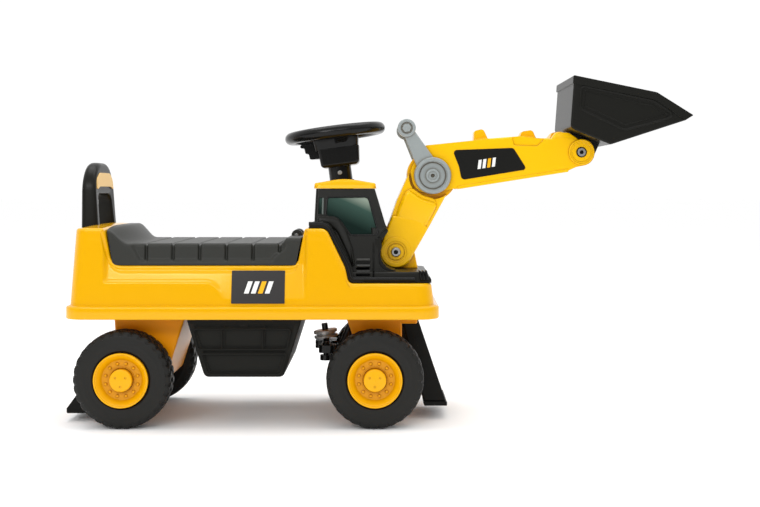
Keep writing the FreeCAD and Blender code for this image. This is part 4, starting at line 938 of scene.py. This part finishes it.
# a ribbed lug at the deck's front corner, on the right side only
lug = slab([(62.5, 237.5, 3), (76.5, 236, 3), (80, 222.5, 2), (65.5, 221.5, 2)], 92, 115.2, None, 2.5, -1)
ribs = [slab([(x, 238.8, 1.6), (x + 3.2, 238.4, 1.6), (x + 6.0, 223.5, 1.6), (x + 2.8, 223.5, 1.6)],
             92, 117, None, 1.4, -1) for x in (63.5, 68.3, 73.1)]
details("deck_lug", [lug, *ribs], "chassis", "gloss_black")
# fillers behind the cab's groove and under its front corner, where daylight would show through
liners = slabs([(-12, 227), (1, 227), (1, 286), (-12, 286)], 10, 17.2, on_cab, 0.3)
feet = slabs([(-9, 303, 1), (14.2, 303, 1.5), (17.5, 297.5, 1.5), (6, 281, 2), (-9, 281, 1)], 50, 94, None, 2)
details("cab_corner_fillers", liners + feet, "chassis", "black")
posts = slabs([(-85.2, 323.5, 0.8), (-82.6, 322.5, 0.8), (-82.0, 349, 0.8), (-84.6, 349, 0.8)], 18, 20.9,
              on_cab, 0.8)
add("cab_window_posts", *merged(*posts), "chassis", "frame_grey", slot="black_plastic")


# -------- storage bin frames
BIN_HALF = max(abs(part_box("storage_bin")[0][1]), abs(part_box("storage_bin")[1][1])) * 1000
frames = [[(-279, 150.5, 5), (-129.5, 150.5, 5), (-137, 119.5, 4), (-271, 119.5, 4)],
          [(-266.5, 112.5, 3), (-136.5, 112.5, 3), (-145.5, 81.5, 8), (-256, 81.5, 8)]]
beads = [ridge(outline(f, step=2), 2.4, 1.0, lambda x, z: BIN_HALF - 0.9, side, closed=True, sink=1.2)
         for f in frames for side in BOTH_SIDES]
for x in (-234.9, -172.9):
    post = [(x, z) for z in np.linspace(121, 149, 12)]
    beads += [ridge(post, 2.0, 0.9, lambda x, z: BIN_HALF - 0.9, side, sink=1.2) for side in BOTH_SIDES]
details("bin_frame_beads", beads, "chassis", "bin")


# -------- bucket details
BUCKET_HALF = 80.0
press = outline([(319, 520.5, 4), (428, 497.5, 12), (457, 478.5, 3), (451, 474, 3), (385, 456, 12),
                 (318, 488, 6)], step=2)
beads = [ridge(inset(press, -2.2), 3.4, 0.9, lambda x, z: BUCKET_HALF - 2, side, closed=True, sink=1.5)
         for side in BOTH_SIDES]
beads += [ridge(inset(press, 5.5), 2.4, 0.9, lambda x, z: BUCKET_HALF - 3.2, side, closed=True, sink=0.8)
          for side in BOTH_SIDES]
details("bucket_side_beads", beads, "bucket", "black")


# -------- steering wheel skirt
COLUMN_TILT, COLUMN_TOP = 7.5, (-67.8, 452.4)
on_column = turned_frame(COLUMN_TOP, COLUMN_TILT)


def hub_skirt():
    """A square collar with round corners that joins the wheel's hub to the case below it. It is open on
    top, inside the hub, so that the hub and the horn button show."""
    levels = ((30, -27.0), (34.5, -26.0), (36.2, -14), (36.8, -9), (36.4, -7.2), (35, -6.4), (26, -6.4))
    verts = []
    for half, z in levels:
        path = outline([(-half, -half, 10), (half, -half, 10), (half, half, 10), (-half, half, 10)], step=3)
        verts += [on_column(x, y, z) for x, y in path]
    return verts, quads(len(levels), len(path), closed_cols=True) + [tuple(range(len(path)))]


add("hub_skirt", *hub_skirt(), "steering_column", "gloss_black", slot="black_plastic")


# -------- the rest keeps the CAD shapes
LOOKS = {
    "yellow": ["cab_roof", "arm_base"],
    "arm": ["boom_shell_left", "boom_shell_right", "stick_shell_left", "stick_shell_right"],
    "under": ["floor_panel", "rear_axle_housing", "front_axle_housing"],
    "hub": [f"{part}_{wheel}" for part in ("wheel_disc", "hub_cap") for wheel, _, _ in WHEELS],
    "bin": ["storage_bin"],
    "black": ["cab_body", "column_bushes", "bucket"],
    "dark": ["front_support", "rear_support"],
    "glass": ["cab_windows"],
    "gloss_black": ["steering_wheel", "sound_module", "steering_sleeve", "tie_rod", "knuckle_left",
                    "knuckle_right"],
    "grey": ["lever_left", "lever_right", "lever_grip", "lever_bolt", "elbow_bolt"],
    "red": ["horn_button"],
    "steel": ["boom_pivot_bolt", "seat_hinge_pin", "body_screws", "kingpins", "rear_axle", "rear_push_nuts",
              "sleeve_screw", "stub_axle_left", "stub_axle_right", "push_nut_left", "push_nut_right",
              "bucket_pin"],
    "washer": ["steering_washer"],
    "dark_steel": ["steering_shaft"],
    "cell": ["battery_cells"],
}
for look, names in LOOKS.items():
    for name in names:
        dress(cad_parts[name], look, 30)


# -------- stage
def stage():
    """A wide white floor."""
    reach = 40.0
    mesh = bpy.data.meshes.new("floor")
    mesh.from_pydata([(-reach, -reach, 0), (reach, -reach, 0), (reach, reach, 0), (-reach, reach, 0)],
                     [], [(0, 1, 2, 3)])
    floor = bpy.data.objects.new("floor", mesh)
    floor.data.materials.append(material("floor", (0.995, 0.995, 0.995), 0.9, specular=0.0))
    bpy.context.collection.objects.link(floor)


def light(name, place, aim, size, power):
    """A soft rectangular lamp at place, in metres, that shines at aim."""
    lamp = bpy.data.lights.new(name, "AREA")
    lamp.shape = "RECTANGLE"
    lamp.size, lamp.size_y = size
    lamp.energy = power
    obj = bpy.data.objects.new(name, lamp)
    obj.location = place
    obj.rotation_euler = (Vector(aim) - Vector(place)).to_track_quat("-Z", "Y").to_euler()
    bpy.context.collection.objects.link(obj)


ROOM_LOW, ROOM_STRENGTH = 0.22, 1.03


def white_room(tree):
    """Lights the toy with white from behind it, and from in front dim at eye level and bright above.
    The camera sees it white all round."""
    place = tree.nodes.new("ShaderNodeTexCoord")
    split = tree.nodes.new("ShaderNodeSeparateXYZ")
    tree.links.new(place.outputs["Generated"], split.inputs["Vector"])
    behind = tree.nodes.new("ShaderNodeMapRange")
    behind.inputs["From Min"].default_value, behind.inputs["From Max"].default_value = -0.35, 0.3
    tree.links.new(split.outputs["Y"], behind.inputs["Value"])
    ramp = tree.nodes.new("ShaderNodeValToRGB")
    ramp.color_ramp.elements[0].position, ramp.color_ramp.elements[0].color = 0.16, (ROOM_LOW,) * 3 + (1,)
    ramp.color_ramp.elements[1].position, ramp.color_ramp.elements[1].color = 0.34, (1, 1, 1, 1)
    tree.links.new(split.outputs["Z"], ramp.inputs["Fac"])
    blend = tree.nodes.new("ShaderNodeMix")
    blend.data_type = "RGBA"
    blend.inputs[7].default_value = (1, 1, 1, 1)
    tree.links.new(behind.outputs["Result"], blend.inputs[0])
    tree.links.new(ramp.outputs["Color"], blend.inputs[6])
    rays = tree.nodes.new("ShaderNodeLightPath")
    seen = tree.nodes.new("ShaderNodeMix")
    seen.data_type = "RGBA"
    seen.inputs[7].default_value = (1, 1, 1, 1)
    tree.links.new(rays.outputs["Is Camera Ray"], seen.inputs[0])
    tree.links.new(blend.outputs[2], seen.inputs[6])
    tree.links.new(seen.outputs[2], tree.nodes["Background"].inputs["Color"])
    tree.nodes["Background"].inputs["Strength"].default_value = ROOM_STRENGTH


stage()
world = bpy.data.worlds.new("studio")
world.use_nodes = True
white_room(world.node_tree)
bpy.context.scene.world = world
light("strip", (-0.3, -2.4, 1.42), (0, 0, 0.25), (3.2, 0.34), 12)
light("window", (-1.05, -2.4, 1.24), (-0.3, 0, 0.25), (1.0, 0.28), 8)
light("top", (0, 0.2, 2.3), (0, 0, 0.2), (2.4, 1.4), 30)

EYE_BACK, EYE_UP = 1.778, 0.361         # metres from the toy's middle plane and above the floor
camera = bpy.data.cameras.new("camera")
camera.lens = 51.88
camera.sensor_width = 36
eye = bpy.data.objects.new("camera", camera)
eye.location = (0, -EYE_BACK, EYE_UP)
# a level camera keeps upright edges upright; the small shift frames the toy
eye.rotation_euler = (math.radians(90), 0, 0)
camera.shift_x, camera.shift_y = 0.004, -0.0836
bpy.context.scene.view_settings.view_transform = "Standard"
bpy.context.collection.objects.link(eye)
bpy.context.scene.camera = eye
